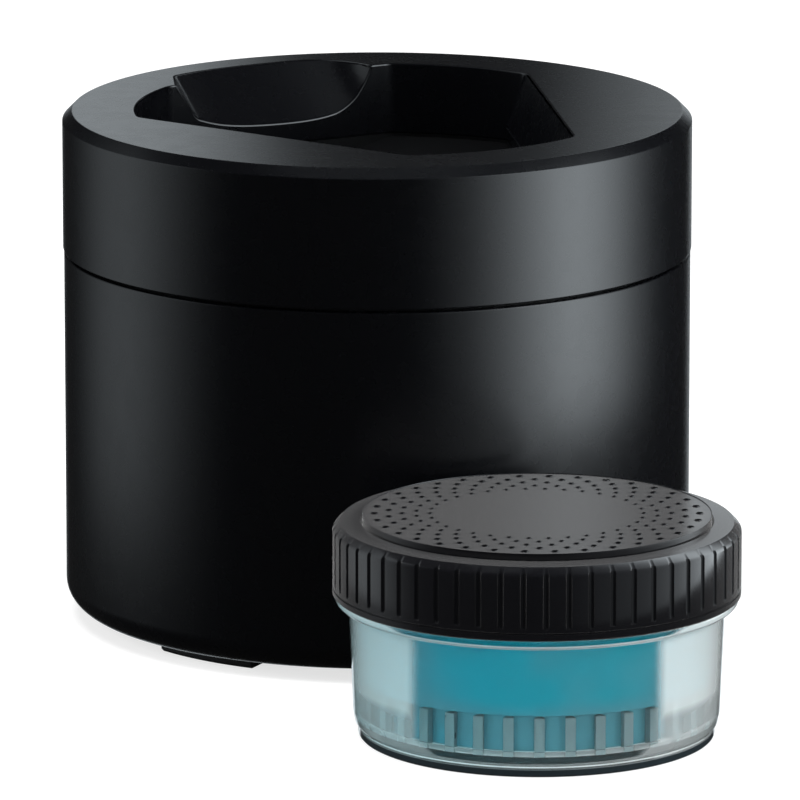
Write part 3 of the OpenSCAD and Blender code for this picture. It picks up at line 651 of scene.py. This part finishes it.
def run_tree(tree, name, source, values):
    """Runs a geometry nodes tree on a mesh and returns the plain result."""
    carrier = new_object(name, source or bpy.data.meshes.new(name))
    mod = carrier.modifiers.new("nodes", "NODES")
    mod.node_group = tree
    ids = {s.name: s.identifier for s in tree.interface.items_tree if s.in_out == "INPUT"}
    for label, value in values.items():
        mod[ids[label]] = value
    mesh = evaluated(carrier)
    carrier.modifiers.remove(mod)
    bpy.data.objects.remove(carrier)
    if not len(mesh.polygons):
        raise RuntimeError(name + " came out empty")
    return mesh


def ring_of_copies(name, bm, count, place, material, weld=0.0, sharp=30.0):
    """Copies of a bmesh in millimetres round an axis, as one finished object."""
    bmesh.ops.recalc_face_normals(bm, faces=bm.faces)
    for v in bm.verts:
        v.co *= MM
    tree = bpy.data.node_groups.get("ring_of_copies") or ring_tree("ring_of_copies")
    mesh = run_tree(tree, name, new_mesh(bm, name), {
        "Count": count, "Centre": (place[0] * MM, place[1] * MM, 0.0),
        "Weld": weld * MM, "Material": MATERIALS[material],
    })
    return mesh_object(mesh, name, [material], sharp)


# ---- the shaver opening ----

# directions of its sides and of the scoop, in degrees from the pod's right
BACK_AZ, RIGHT_AZ, FRONT_AZ, SCOOP_AZ = 118.7, 7.0, -126.1, 120.5
# the scoop's floor: slope of its outer cone, and how softly its faces meet
CONE_SLOPE, FLOOR_SOFT, END_SOFT = 0.84, 1.6, 1.1
# the scoop's two ends: side, turn in plan and lean, in degrees
SCOOP_ENDS = ((1, 27, 30), (-1, 4, 13))
# the scoop's grid: first distance from the axis, step, steps out and steps across
GRID_FROM, GRID_STEP, GRID_OUT, GRID_ACROSS = 27, 0.5, 64, 108
SCOOP_DEEPEST = 13.5


def direction(az):
    return Vector((math.cos(math.radians(az)), math.sin(math.radians(az))))


def opening_outline(grow=0.0, fine=2.5):
    """Three lobes cut by three sides, every corner rounded."""
    o = opening()
    q = o.outline_r
    reach = o.lobe_r - q
    out = []
    sides = [(RIGHT_AZ, o.right_side), (BACK_AZ, o.back_side), (FRONT_AZ + 360, o.front_side)]
    for i, (az, d) in enumerate(sides):
        beta = math.degrees(math.acos((d - q) / reach))
        for sign in (-1, 1):
            centre = direction(az + sign * beta) * reach
            first, last = (az - beta, az) if sign < 0 else (az, az + beta)
            count = max(2, int(abs(last - first) / 4))
            for k in range(count + 1):
                out.append(centre + direction(first + (last - first) * k / count) * (q + grow))
        nxt, nd = sides[(i + 1) % 3]
        if i == 2:
            nxt += 360
        start = az + beta
        end = nxt - math.degrees(math.acos((nd - q) / reach))
        count = max(2, int((end - start) / fine))
        for k in range(1, count):
            out.append(direction(start + (end - start) * k / count) * (o.lobe_r + grow))
    return [p for k, p in enumerate(out) if (p - out[k - 1]).length > 1e-3]


def mouth_solid(above):
    """The well above or below the lip of the leaning sides."""
    o = opening()
    lip = TOP_Z - o.side_depth
    if above:
        tilt, inset, low, high = math.atan2(o.side_lean, o.side_depth), 0.0, lip, TOP_Z + 1
    else:
        tilt, inset, low, high = 0.0, o.side_lean - 0.3, TOP_Z - o.collar_h - 1, lip + 0.001
    bm = bmesh.new()
    prism(bm, opening_outline(), low, high)
    for az, d in ((RIGHT_AZ, o.right_side), (FRONT_AZ, o.front_side)):
        n = direction(az)
        normal = Vector((n.x * math.cos(tilt), n.y * math.cos(tilt), -math.sin(tilt)))
        trim(bm, Vector((n.x * (d - inset), n.y * (d - inset), TOP_Z)), normal)
    return scratch(bm, "mouth")


def scoop_channel(grow):
    """Sloping channel with rounded lower corners, larger than the scoop all round."""
    o = opening()
    half = o.scoop_half_w + grow
    r = o.scoop_corner_r
    top, steps = 24.0, 16
    profile = [Vector((-half, top))]
    for side, start in ((-1, math.pi), (1, -math.pi / 2)):
        for k in range(steps + 1):
            a = start + (math.pi / 2) * k / steps
            across, up = side * (half - r) + r * math.cos(a), r - grow + r * math.sin(a)
            profile.append(Vector((across, up)))
    profile.append(Vector((half, top)))
    slope = math.atan2(o.scoop_depth, o.scoop_r - o.back_side)
    bm = bmesh.new()
    prism(bm, profile, -22, 4)
    turn = (
        Matrix.Rotation(math.radians(SCOOP_AZ), 4, "Z")
        @ Matrix.Translation((o.scoop_r, 0, TOP_Z))
        @ Matrix.Rotation(-slope, 4, "Y")
        @ Matrix.Rotation(math.pi / 2, 4, "Z")
        @ Matrix.Rotation(math.pi / 2, 4, "X")
    )
    bmesh.ops.transform(bm, matrix=turn, verts=bm.verts)
    return bm


def soft_min(values, k):
    """Smallest of several depths, rounded where two of them meet."""
    best = values[0]
    for v in values[1:]:
        h = max(0.0, min(1.0, 0.5 + 0.5 * (v - best) / k))
        best = v + (best - v) * h - k * h * (1 - h)
    return best


def scoop_depth_at(u, w):
    """Depth of the scoop's floor, u out along its direction and w to its left."""
    o = opening()
    slope = o.scoop_depth / (o.scoop_r - o.back_side)
    cone = (o.scoop_r - math.hypot(u, w)) * CONE_SLOPE
    floor = soft_min([(o.scoop_r - u) * slope, cone], FLOOR_SOFT)
    ends = []
    for side, plan, lean in SCOOP_ENDS:
        turn = Matrix.Rotation(math.radians(-side * plan), 3, "Z")
        n = turn @ Matrix.Rotation(math.radians(-side * lean), 3, "X") @ Vector((0, side, 0))
        ends.append(-(n.x * (u - o.back_side) + n.y * (w - side * o.scoop_half_w)) / abs(n.z))
    if w < 0:
        # only the right end keeps a round lower corner
        corner = o.scoop_corner_r
        over = max(0.0, abs(w) - (o.scoop_half_w - corner))
        if over < corner:
            floor -= corner - math.sqrt(corner**2 - over**2)
        else:
            floor -= corner + 4 * (over - corner)
    return soft_min([floor, *ends], END_SOFT)


def scoop_solid():
    """Finger scoop: everything above a floor that is worked out point by point."""
    along, across = direction(SCOOP_AZ), direction(SCOOP_AZ + 90)
    bm = bmesh.new()
    floor, lid = [], []
    for i in range(GRID_OUT + 1):
        u = GRID_FROM + i * GRID_STEP
        low, high = [], []
        for j in range(GRID_ACROSS + 1):
            w = (j - GRID_ACROSS / 2) * GRID_STEP
            p = along * u + across * w
            depth = max(-1.0, min(SCOOP_DEEPEST, scoop_depth_at(u, w)))
            low.append(bm.verts.new((p.x, p.y, TOP_Z - depth)))
            high.append(bm.verts.new((p.x, p.y, TOP_Z + 1.6)))
        floor.append(low)
        lid.append(high)

    for i in range(GRID_OUT):
        for j in range(GRID_ACROSS):
            for g in (floor, lid):
                bm.faces.new((g[i][j], g[i + 1][j], g[i + 1][j + 1], g[i][j + 1]))
    for i in range(GRID_OUT):
        for j in (0, GRID_ACROSS):
            bm.faces.new((floor[i][j], floor[i + 1][j], lid[i + 1][j], lid[i][j]))
    for j in range(GRID_ACROSS):
        for i in (0, GRID_OUT):
            bm.faces.new((floor[i][j], floor[i][j + 1], lid[i][j + 1], lid[i][j]))
    return scratch(bm, "scoop")


# ---- cards that the pod and the cartridge mirror, and lights ----

# turn from the camera's direction in degrees, and how bright
LEFT_GLOW = (
    (-50, 0), (-60, 0.03), (-68, 0.14), (-82, 0.5), (-92, 0.8), (-103, 0.9), (-116, 0.6),
    (-131, 0.17), (-141, 0.05), (-150, 0),
)
RIGHT_GLOW = (
    (10, 0), (19, 0.05), (34, 0.45), (46, 1.4), (58, 3.0), (67, 4.3), (75, 5.1), (85, 4.2),
    (96, 2.4), (107, 0.8), (120, 0.1), (137, 0),
)
# place from left to right in metres, and how bright, on the cards behind the pod
BACK_Y = 0.36
BACK_GLOW = {
    "back_left_card": ((-0.15, 0.0), (-0.1, 0.8), (-0.08, 0.9), (-0.05, 0.8), (-0.02, 0.0)),
    "back_right_card": ((0.04, 0.0), (0.06, 0.28), (0.08, 0.62), (0.16, 0.8), (0.18, 0.0)),
}
# place, target, size and watts
LIGHTS = {
    "overhead": ((0.0, -0.15, 1.3), (0, -0.05, 0.05), (1.2, 1.0), 30),
    "front_fill": ((0.3, -1.3, 0.6), (0, 0, 0.05), (0.9, 0.6), 4),
    "left_fill": ((-1.1, -0.2, 0.5), (0, 0, 0.05), (0.8, 0.8), 8),
    "right_fill": ((1.1, -0.3, 0.5), (0, 0, 0.05), (0.6, 0.8), 14),
}

# ---- walls and steps that several pieces share, in millimetres ----

WALL = 2.4
SEAM_GAP = 0.6
DISC_PROUD = 1.2


# ---- operators ----


class STATION_OT_lower_housing(bpy.types.Operator):
    """Build the pod's lower housing with rounded edges"""

    bl_idname = "station.lower_housing"
    bl_label = "Lower housing"

    def execute(self, context):
        p = pod()
        r, low, high = POD_R - 0.2, 2.2, SEAM_Z - SEAM_GAP
        inner_r, ledge_r, cover_r = r - WALL, r - 4.6, 49.7
        ledge_low, ledge_high = 66.3, 69.3
        points = [
            (cover_r, low, 0.2), (r, low, p.base_edge), (r, high, 0.5), (inner_r, high, 0.3),
            (inner_r, ledge_high, 0), (ledge_r, ledge_high, 0), (ledge_r, ledge_low, 0),
            (inner_r, ledge_low, 0), (inner_r, low + WALL, 3.1), (cover_r, low + WALL, 0),
        ]
        shell = revolved("pod_lower_shell", points, ["pod"], p.segments, steps=10)
        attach(shell, "base")
        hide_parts("base_housing")
        return {"FINISHED"}


class STATION_OT_upper_housing(bpy.types.Operator):
    """Build the pod's upper housing with the shaver opening and the finger scoop"""

    bl_idname = "station.upper_housing"
    bl_label = "Upper housing"

    sharp = 28.0

    def execute(self, context):
        p, o = pod(), opening()
        r, ch = POD_R, p.rim_chamfer
        ceiling, collar_low = TOP_Z - WALL, TOP_Z - o.collar_h
        up, along = Vector((0, 0, 1)), direction(SCOOP_AZ).to_3d()
        bm = bmesh.new()
        revolve(bm, rounded([
            (r, SEAM_Z, 0.3), (r, TOP_Z - ch, 0.4), (r - ch, TOP_Z, 0.4), (0, TOP_Z, 0),
            (0, ceiling, 0), (r - WALL - 1, ceiling, 0), (r - WALL, ceiling - 1, 0),
            (r - WALL, SEAM_Z, 0.2),
        ], 4), p.segments)
        body = scratch(bm, "upper")
        bm = bmesh.new()
        prism(bm, opening_outline(WALL), collar_low, ceiling + 0.5)
        carve(body, scratch(bm, "collar"), "UNION")
        bm = scoop_channel(WALL)
        trim(bm, up * (TOP_Z - 1), up)
        trim(bm, up * collar_low, -up)
        trim(bm, along * (o.back_side - 2), -along)
        trim(bm, along * 60.5, along)
        carve(body, scratch(bm, "boss"), "UNION")
        for tool in (mouth_solid(True), mouth_solid(False), scoop_solid()):
            carve(body, tool, "DIFFERENCE")
        bm = bmesh.new()
        bm.from_mesh(body.data)
        bpy.data.objects.remove(body)
        bmesh.ops.remove_doubles(bm, verts=bm.verts, dist=0.02)
        bmesh.ops.dissolve_limit(
            bm, angle_limit=math.radians(0.3), verts=bm.verts, edges=bm.edges
        )
        shell = finish_mesh(bm, "pod_upper_shell", ["pod", "edge"], self.sharp)
        bevel = soften(shell, p.edge_round, 32)
        bevel.material = 1
        keep_result(shell, bevel)
        for v in shell.data.vertices:
            v.co.z = min(v.co.z, TOP_Z * MM)
        shell.data.set_sharp_from_angle(angle=math.radians(self.sharp))
        weigh = shell.modifiers.new("flat faces", "WEIGHTED_NORMAL")
        weigh.keep_sharp = True
        keep_result(shell, weigh)
        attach(shell, "top")
        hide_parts("top_housing")
        return {"FINISHED"}


class STATION_OT_cup(bpy.types.Operator):
    """Build the cartridge's clear cup, its foot ribs and the fluid"""

    bl_idname = "station.cup"
    bl_label = "Cup and fluid"

    def execute(self, context):
        c = cartridge()
        place = (CART_X, CART_Y)
        foot_r, foot_h, floor_h = 35.3, 2.2, 4.0
        low_h = c.cart_h - DISC_PROUD - c.cap_h
        neck_r, neck_top = c.cap_r - 2.9, c.cart_h - DISC_PROUD - 3.2
        flange_r, flange_low = c.cap_r - 0.6, low_h - 1.6
        points = [
            (0, foot_h, 0), (foot_r - 2, foot_h, 0.3), (foot_r - 2, 0, 0.4), (foot_r, 0, 0.6),
            (foot_r, foot_h, 0.2), (35.9, 2.9, 0.6), (36.3, 5.0, 2.0),
            (37.2, flange_low - 0.7, 0.5), (flange_r - 0.4, flange_low, 0.3),
            (flange_r, flange_low + 0.5, 0.2), (flange_r, low_h - 0.1, 0.3),
            (neck_r, low_h - 0.1, 0.2), (neck_r, neck_top, 0.3), (neck_r - 1.8, neck_top, 0.3),
            (35.4, low_h, 0.3), (34.5, 5.2, 0.8), (foot_r - 2, floor_h, 0.4), (0, floor_h, 0),
        ]
        cup = revolved("cup_clear_wall", points, ["cup"], 192, place)
        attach(cup, "cartridge")
        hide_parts("cartridge_cup")
        bm = bmesh.new()
        rib = [Vector(p) for p in ((32.4, -0.5), (34.3, -1.0), (34.3, 1.0), (32.4, 0.5))]
        prism(bm, rib, floor_h + 0.1, 11.8)
        ribs = ring_of_copies("cup_foot_ribs", bm, c.rib_n, place, "rib", sharp=20)
        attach(ribs, "cartridge")
        low, step, top = floor_h + 0.15, 12.2, low_h + 3
        fluid = revolved("fluid_body", [
            (0, low, 0), (32.1, low, 0.4), (32.1, step, 0.3), (34.35, step, 0.3), (35.1, top, 0.4),
            (0, top, 0),
        ], ["fluid"], 160, place)
        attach(fluid, "cartridge")
        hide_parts("cleaning_fluid")
        return {"FINISHED"}


class STATION_OT_grip_ring(bpy.types.Operator):
    """Build the grip ring from one grooved sector, repeated round its axis"""

    bl_idname = "station.grip_ring"
    bl_label = "Grip ring"

    def execute(self, context):
        c = cartridge()
        top = c.cart_h - DISC_PROUD
        low = top - c.cap_h
        foot = low + 2.4
        sector = 2 * math.pi / c.groove_n
        groove = c.groove_r / c.cap_r
        steps = (-1.0, -0.97, -0.85, -0.6, -0.3, 0.0, 0.3, 0.6, 0.85, 0.97, 1.0)
        flats = [sector / 4, sector / 3, sector / 2]
        angles = [-a for a in reversed(flats)] + [s * groove for s in steps] + flats
        bevel_low, r = top - 1.7, c.cap_r
        rows = [(r - 0.3, low), (r, low + 0.3), (r, low + 1.25)]
        rows += [(r - 0.22, low + 1.35), (r - 0.22, low + 1.6), (r, low + 1.7)]
        rows += [(r, foot + c.groove_r * (1 - math.cos(math.pi / 2 * k / 6))) for k in range(7)]
        rows += [(r, bevel_low - 0.35), (r - 0.08, bevel_low), (r - 0.33, bevel_low + 0.35)]
        rows += [(r - 1.2, top - 0.47), (r - 1.5, top - 0.22)]
        seat_r, hole_r, inner_r, seat_z = c.disc_r + 0.2, c.disc_r - 1.6, r - 2.0, c.cart_h - 2.4
        inner = [
            (seat_r + 0.25, top), (seat_r, top - 0.25), (seat_r, seat_z), (hole_r, seat_z),
            (hole_r, top - 2.0), (inner_r, top - 2.0), (inner_r, low + 0.2), (inner_r + 0.2, low),
        ]
        bm = bmesh.new()
        columns = []
        for a in angles:
            across = abs(a) * c.cap_r
            column = []
            for r, z in rows:
                below = max(0.0, foot + c.groove_r - z)
                depth2 = c.groove_r**2 - across**2 - below**2
                if depth2 > 1e-9 and z > foot - 1e-6:
                    r = min(r, c.cap_r - math.sqrt(depth2))
                column.append(bm.verts.new((r * math.cos(a), r * math.sin(a), z)))
            for r, z in inner:
                column.append(bm.verts.new((r * math.cos(a), r * math.sin(a), z)))
            columns.append(column)
        for a, b in zip(columns, columns[1:]):
            for k in range(len(a)):
                j = (k + 1) % len(a)
                bm.faces.new((a[k], b[k], b[j], a[j]))
        ring = ring_of_copies("cap_grip_ring", bm, c.groove_n, (CART_X, CART_Y), "cap", weld=0.002, sharp=26)
        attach(ring, "cap")
        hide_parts("cartridge_cap")
        return {"FINISHED"}


class STATION_OT_sieve_disc(bpy.types.Operator):
    """Build the perforated disc in the grip ring"""

    bl_idname = "station.sieve_disc"
    bl_label = "Perforated disc"

    def execute(self, context):
        c = cartridge()
        mesh = run_tree(sieve_tree("sieve_plate"), "cap_sieve_disc", None, {
            "Radius": c.disc_r * MM, "Thickness": 2.4 * MM, "Holes": c.hole_n, "Rings": 5,
            "Outer Ring": (c.disc_r - 2.4) * MM, "Pitch": 2.75 * MM, "Hole Radius": 0.68 * MM,
            "Shrink": 0.07 * MM, "Centre": (CART_X * MM, CART_Y * MM, c.cart_h * MM),
            "Material": MATERIALS["cap"],
        })
        disc = mesh_object(mesh, "cap_sieve_disc", ["cap"], 40)
        soften(disc, 0.15, 60)
        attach(disc, "cap")
        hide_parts("cap_disc")
        return {"FINISHED"}


class STATION_OT_start_spring(bpy.types.Operator):
    """Build the start plunger's coil spring"""

    bl_idname = "station.start_spring"
    bl_label = "Start spring"

    turns = 6
    wire_r = 0.3

    def execute(self, context):
        low, high = node_box("plunger_spring")
        centre = (low + high) / 2 / MM
        coil_r = (high.x - low.x) / 2 / MM - self.wire_r
        foot, rise = low.z / MM + self.wire_r, (high.z - low.z) / MM - 2 * self.wire_r
        per_turn, sides = 28, 8
        count = self.turns * per_turn
        bm = bmesh.new()
        rings = []
        for k in range(count + 1):
            turn = 2 * math.pi * k / per_turn
            # the first and last turn lie flat
            share = min(1.0, max(0.0, (k - per_turn) / (count - 2 * per_turn)))
            out = Vector((math.cos(turn), math.sin(turn), 0))
            middle = out * coil_r + Vector((0, 0, foot + rise * share))
            ring = []
            for j in range(sides):
                a = 2 * math.pi * j / sides
                round_wire = out * math.cos(a) + Vector((0, 0, math.sin(a)))
                ring.append(bm.verts.new(middle + self.wire_r * round_wire))
            rings.append(ring)
        for a, b in zip(rings, rings[1:]):
            for j in range(sides):
                i = (j + 1) % sides
                bm.faces.new((a[j], a[i], b[i], b[j]))
        bm.faces.new(rings[0])
        bm.faces.new(rings[-1])
        spring = finish_mesh(bm, "start_coil_spring", ["spring"], 50, (centre.x, centre.y))
        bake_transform(spring)
        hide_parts("plunger_spring")
        return {"FINISHED"}


class STATION_OT_inner_parts(bpy.types.Operator):
    """Give every carried-over piece of the frame its finish"""

    bl_idname = "station.inner_parts"
    bl_label = "Inner parts"

    finish_of = {
        "pod": ("base_housing", "top_housing"),
        "well": ("shaver_basin",),
        "inside": ("bottom_cover", "battery_tray", "battery_door", "start_switch"),
        "grey": ("cartridge_well", "motor_mount", "underplate", "start_plunger"),
        "rubber": ("rubber_feet", "switch_grommet", "well_seal", "basin_seal", "cap_seal"),
        "steel": ("cover_screws", "mount_screws", "board_screws", "underplate_screws"),
        "spring": ("battery_contacts", "plunger_clip", "plunger_spring", "impeller_axle"),
        "can": ("drive_motor",),
        "magnet": ("drive_magnets", "impeller_magnet"),
        "cell": ("battery_cells",),
        "white": ("drive_rotor", "impeller"),
        "board": ("control_board",),
        "cup": ("cartridge_cup",),
        "fluid": ("cleaning_fluid",),
        "cap": ("cartridge_cap", "cap_disc"),
    }

    def execute(self, context):
        todo = set(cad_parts)
        for finish, names in self.finish_of.items():
            for name in names:
                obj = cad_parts[name]
                if not obj.material_slots:
                    obj.data.materials.append(None)
                for s in obj.material_slots:
                    s.material = MATERIALS[finish]
                todo.discard(name)
        if todo:
            raise RuntimeError("no finish for " + ", ".join(sorted(todo)))
        return {"FINISHED"}


class STATION_OT_stage(bpy.types.Operator):
    """Build the floor, the light and the camera"""

    bl_idname = "station.stage"
    bl_label = "Stage"

    def soft_light(self, name, where, target, size, watts):
        light = bpy.data.lights.new(name, "AREA")
        light.shape = "RECTANGLE"
        light.size, light.size_y = size
        light.energy = watts
        obj = new_object(name, light)
        obj.location = where
        obj.rotation_euler = (Vector(target) - Vector(where)).to_track_quat("-Z", "Y").to_euler()
        obj.visible_camera = obj.visible_glossy = obj.visible_transmission = False

    def card(self, name, columns, low, high, depth=0.0):
        """Card that shows only in reflections, with a glow that changes along it."""
        mat, tree, out = bare_material(name)
        mat.cycles.emission_sampling = "NONE"
        level = add(tree, "ShaderNodeAttribute", attribute_name="glow").outputs["Fac"]
        glow = add(tree, "ShaderNodeEmission", Color=(0.87, 0.95, 1.0, 1), Strength=level)
        fit(tree, out, Surface=glow.outputs[0])
        mesh = bpy.data.meshes.new(name)
        n = len(columns)
        corners = [(x, y, low) for x, y, _ in columns]
        corners += [(x, y + depth, high) for x, y, _ in columns]
        mesh.from_pydata(corners, [], [(k, k + 1, n + k + 1, n + k) for k in range(n - 1)])
        values = mesh.attributes.new("glow", "FLOAT", "POINT")
        values.data.foreach_set("value", [c[2] for c in columns] * 2)
        mesh.materials.append(mat)
        obj = new_object(name, mesh)
        obj.visible_camera = obj.visible_diffuse = False
        obj.visible_transmission = obj.visible_shadow = False

    def mirror_card(self, name, reach, glow, low, high):
        """Upright card on an arc, each stop where the pod's side mirrors that turn from the camera."""
        columns = []
        for (turn, level), (turn2, level2) in zip(glow, glow[1:]):
            for k in range(4):
                t = turn + (turn2 - turn) * k / 4
                out = direction(-90 + t / 2) * POD_R * MM
                along = direction(-90 + t)
                dot = out.dot(along)
                hit = out + along * (-dot + math.sqrt(dot * dot - out.length_squared + reach * reach))
                columns.append((hit.x, hit.y, level + (level2 - level) * k / 4))
        self.card(name, columns, low, high)

    def floor(self):
        """Floor that also glows, for the camera alone, and that nothing mirrors."""
        mat, tree, out = bare_material("pale_floor")
        seen = add(tree, "ShaderNodeLightPath").outputs["Is Camera Ray"]
        diffuse = add(tree, "ShaderNodeBsdfDiffuse", Color=(0.35, 0.35, 0.35, 1))
        glow = add(tree, "ShaderNodeEmission", Strength=calc(tree, "MULTIPLY", seen, 0.72))
        both = add(tree, "ShaderNodeAddShader")
        for socket, part in zip(both.inputs, (diffuse, glow)):
            put(tree, socket, part.outputs[0])
        fit(tree, out, Surface=both.outputs[0])
        bm = bmesh.new()
        bmesh.ops.create_grid(bm, x_segments=1, y_segments=1, size=12)
        mesh = new_mesh(bm, "floor")
        mesh.materials.append(mat)
        obj = new_object("floor", mesh)
        obj.visible_glossy = obj.visible_transmission = False

    def world(self):
        """White behind everything, dim for what lights or mirrors in the pieces."""
        world = bpy.data.worlds.new("studio")
        bpy.context.scene.world = world
        world.use_nodes = True
        tree = world.node_tree
        path = add(tree, "ShaderNodeLightPath").outputs
        # from the camera or through the cup, with no mirror on the way
        seen = calc(tree, "MAXIMUM", path["Is Camera Ray"], path["Is Transmission Ray"])
        plain = calc(tree, "LESS_THAN", path["Glossy Depth"], 0.5)
        # more for what reaches the fluid through the cup
        bounced = calc(tree, "MINIMUM", path["Diffuse Depth"], 1.0)
        inner = calc(tree, "MULTIPLY_ADD", bounced, 2.2, 1.0)
        straight = calc(tree, "MULTIPLY", calc(tree, "MULTIPLY", seen, plain), inner)
        diffuse = calc(tree, "MULTIPLY_ADD", path["Is Diffuse Ray"], 0.23, 0.02)
        through = calc(tree, "MULTIPLY", path["Is Transmission Ray"], 0.3)
        strength = calc(tree, "MAXIMUM", calc(tree, "MAXIMUM", diffuse, through), straight)
        fit(tree, tree.nodes["Background"], Color=(1, 1, 1, 1), Strength=strength)

    def camera(self):
        cam = bpy.data.cameras.new("camera")
        obj = new_object("camera", cam)
        bpy.context.scene.camera = obj
        reach, rise = 1.95, math.radians(10.93)
        top = Vector((0, 0, TOP_Z * MM))
        obj.location = top + Vector((0, -reach * math.cos(rise), reach * math.sin(rise)))
        aim = Vector((0.0047, 0, 0.0445))
        obj.rotation_euler = (aim - obj.location).to_track_quat("-Z", "Y").to_euler()
        focal_in_widths = 11.81
        cam.sensor_width = 36
        cam.lens = focal_in_widths * cam.sensor_width
        cam.clip_start = 0.1
        cam.clip_end = 50

    def execute(self, context):
        context.scene.view_settings.view_transform = "Standard"
        self.floor()
        self.world()
        for name, values in LIGHTS.items():
            self.soft_light(name, *values)
        self.mirror_card("left_card", 0.5, LEFT_GLOW, -0.09, 0.5)
        self.mirror_card("right_card", 0.17, RIGHT_GLOW, 0.026, 0.25)
        for name, stops in BACK_GLOW.items():
            self.card(name, [(x, BACK_Y, level) for x, level in stops], -0.3, 0.5)
        self.card("roof_card", [(-0.4, -0.5, 0.2), (0.4, -0.5, 0.2)], 1.1, 1.1, 0.8)
        self.camera()
        return {"FINISHED"}


class STATION_PT_panel(bpy.types.Panel):
    """Lists the station's pieces and sizes"""

    bl_idname = "STATION_PT_panel"
    bl_label = "Shaver cleaning station"
    bl_space_type = "VIEW_3D"
    bl_region_type = "UI"
    bl_category = "Station"

    def draw(self, context):
        layout = self.layout
        for cls in BUILDERS:
            layout.operator(cls.bl_idname)
        for name in GROUPS:
            group = getattr(context.scene, name)
            box = layout.box()
            for key in group.__annotations__:
                box.prop(group, key)


GROUPS = {
    "station_pod": PodSizes, "station_opening": OpeningSizes,
    "station_cartridge": CartridgeSizes, "station_finishes": Finishes,
}
BUILDERS = (
    STATION_OT_inner_parts, STATION_OT_lower_housing, STATION_OT_upper_housing, STATION_OT_cup,
    STATION_OT_grip_ring, STATION_OT_sieve_disc, STATION_OT_start_spring, STATION_OT_stage,
)
CLASSES = (*GROUPS.values(), *BUILDERS, STATION_PT_panel)


def register():
    for cls in CLASSES:
        bpy.utils.register_class(cls)
    for name, cls in GROUPS.items():
        setattr(bpy.types.Scene, name, PointerProperty(type=cls))


def unregister():
    for name in GROUPS:
        delattr(bpy.types.Scene, name)
    for cls in reversed(CLASSES):
        bpy.utils.unregister_class(cls)


def main():
    register()
    make_materials()
    for cls in BUILDERS:
        group, name = cls.bl_idname.split(".")
        getattr(getattr(bpy.ops, group), name)()


if __name__ == "__main__":
    main()
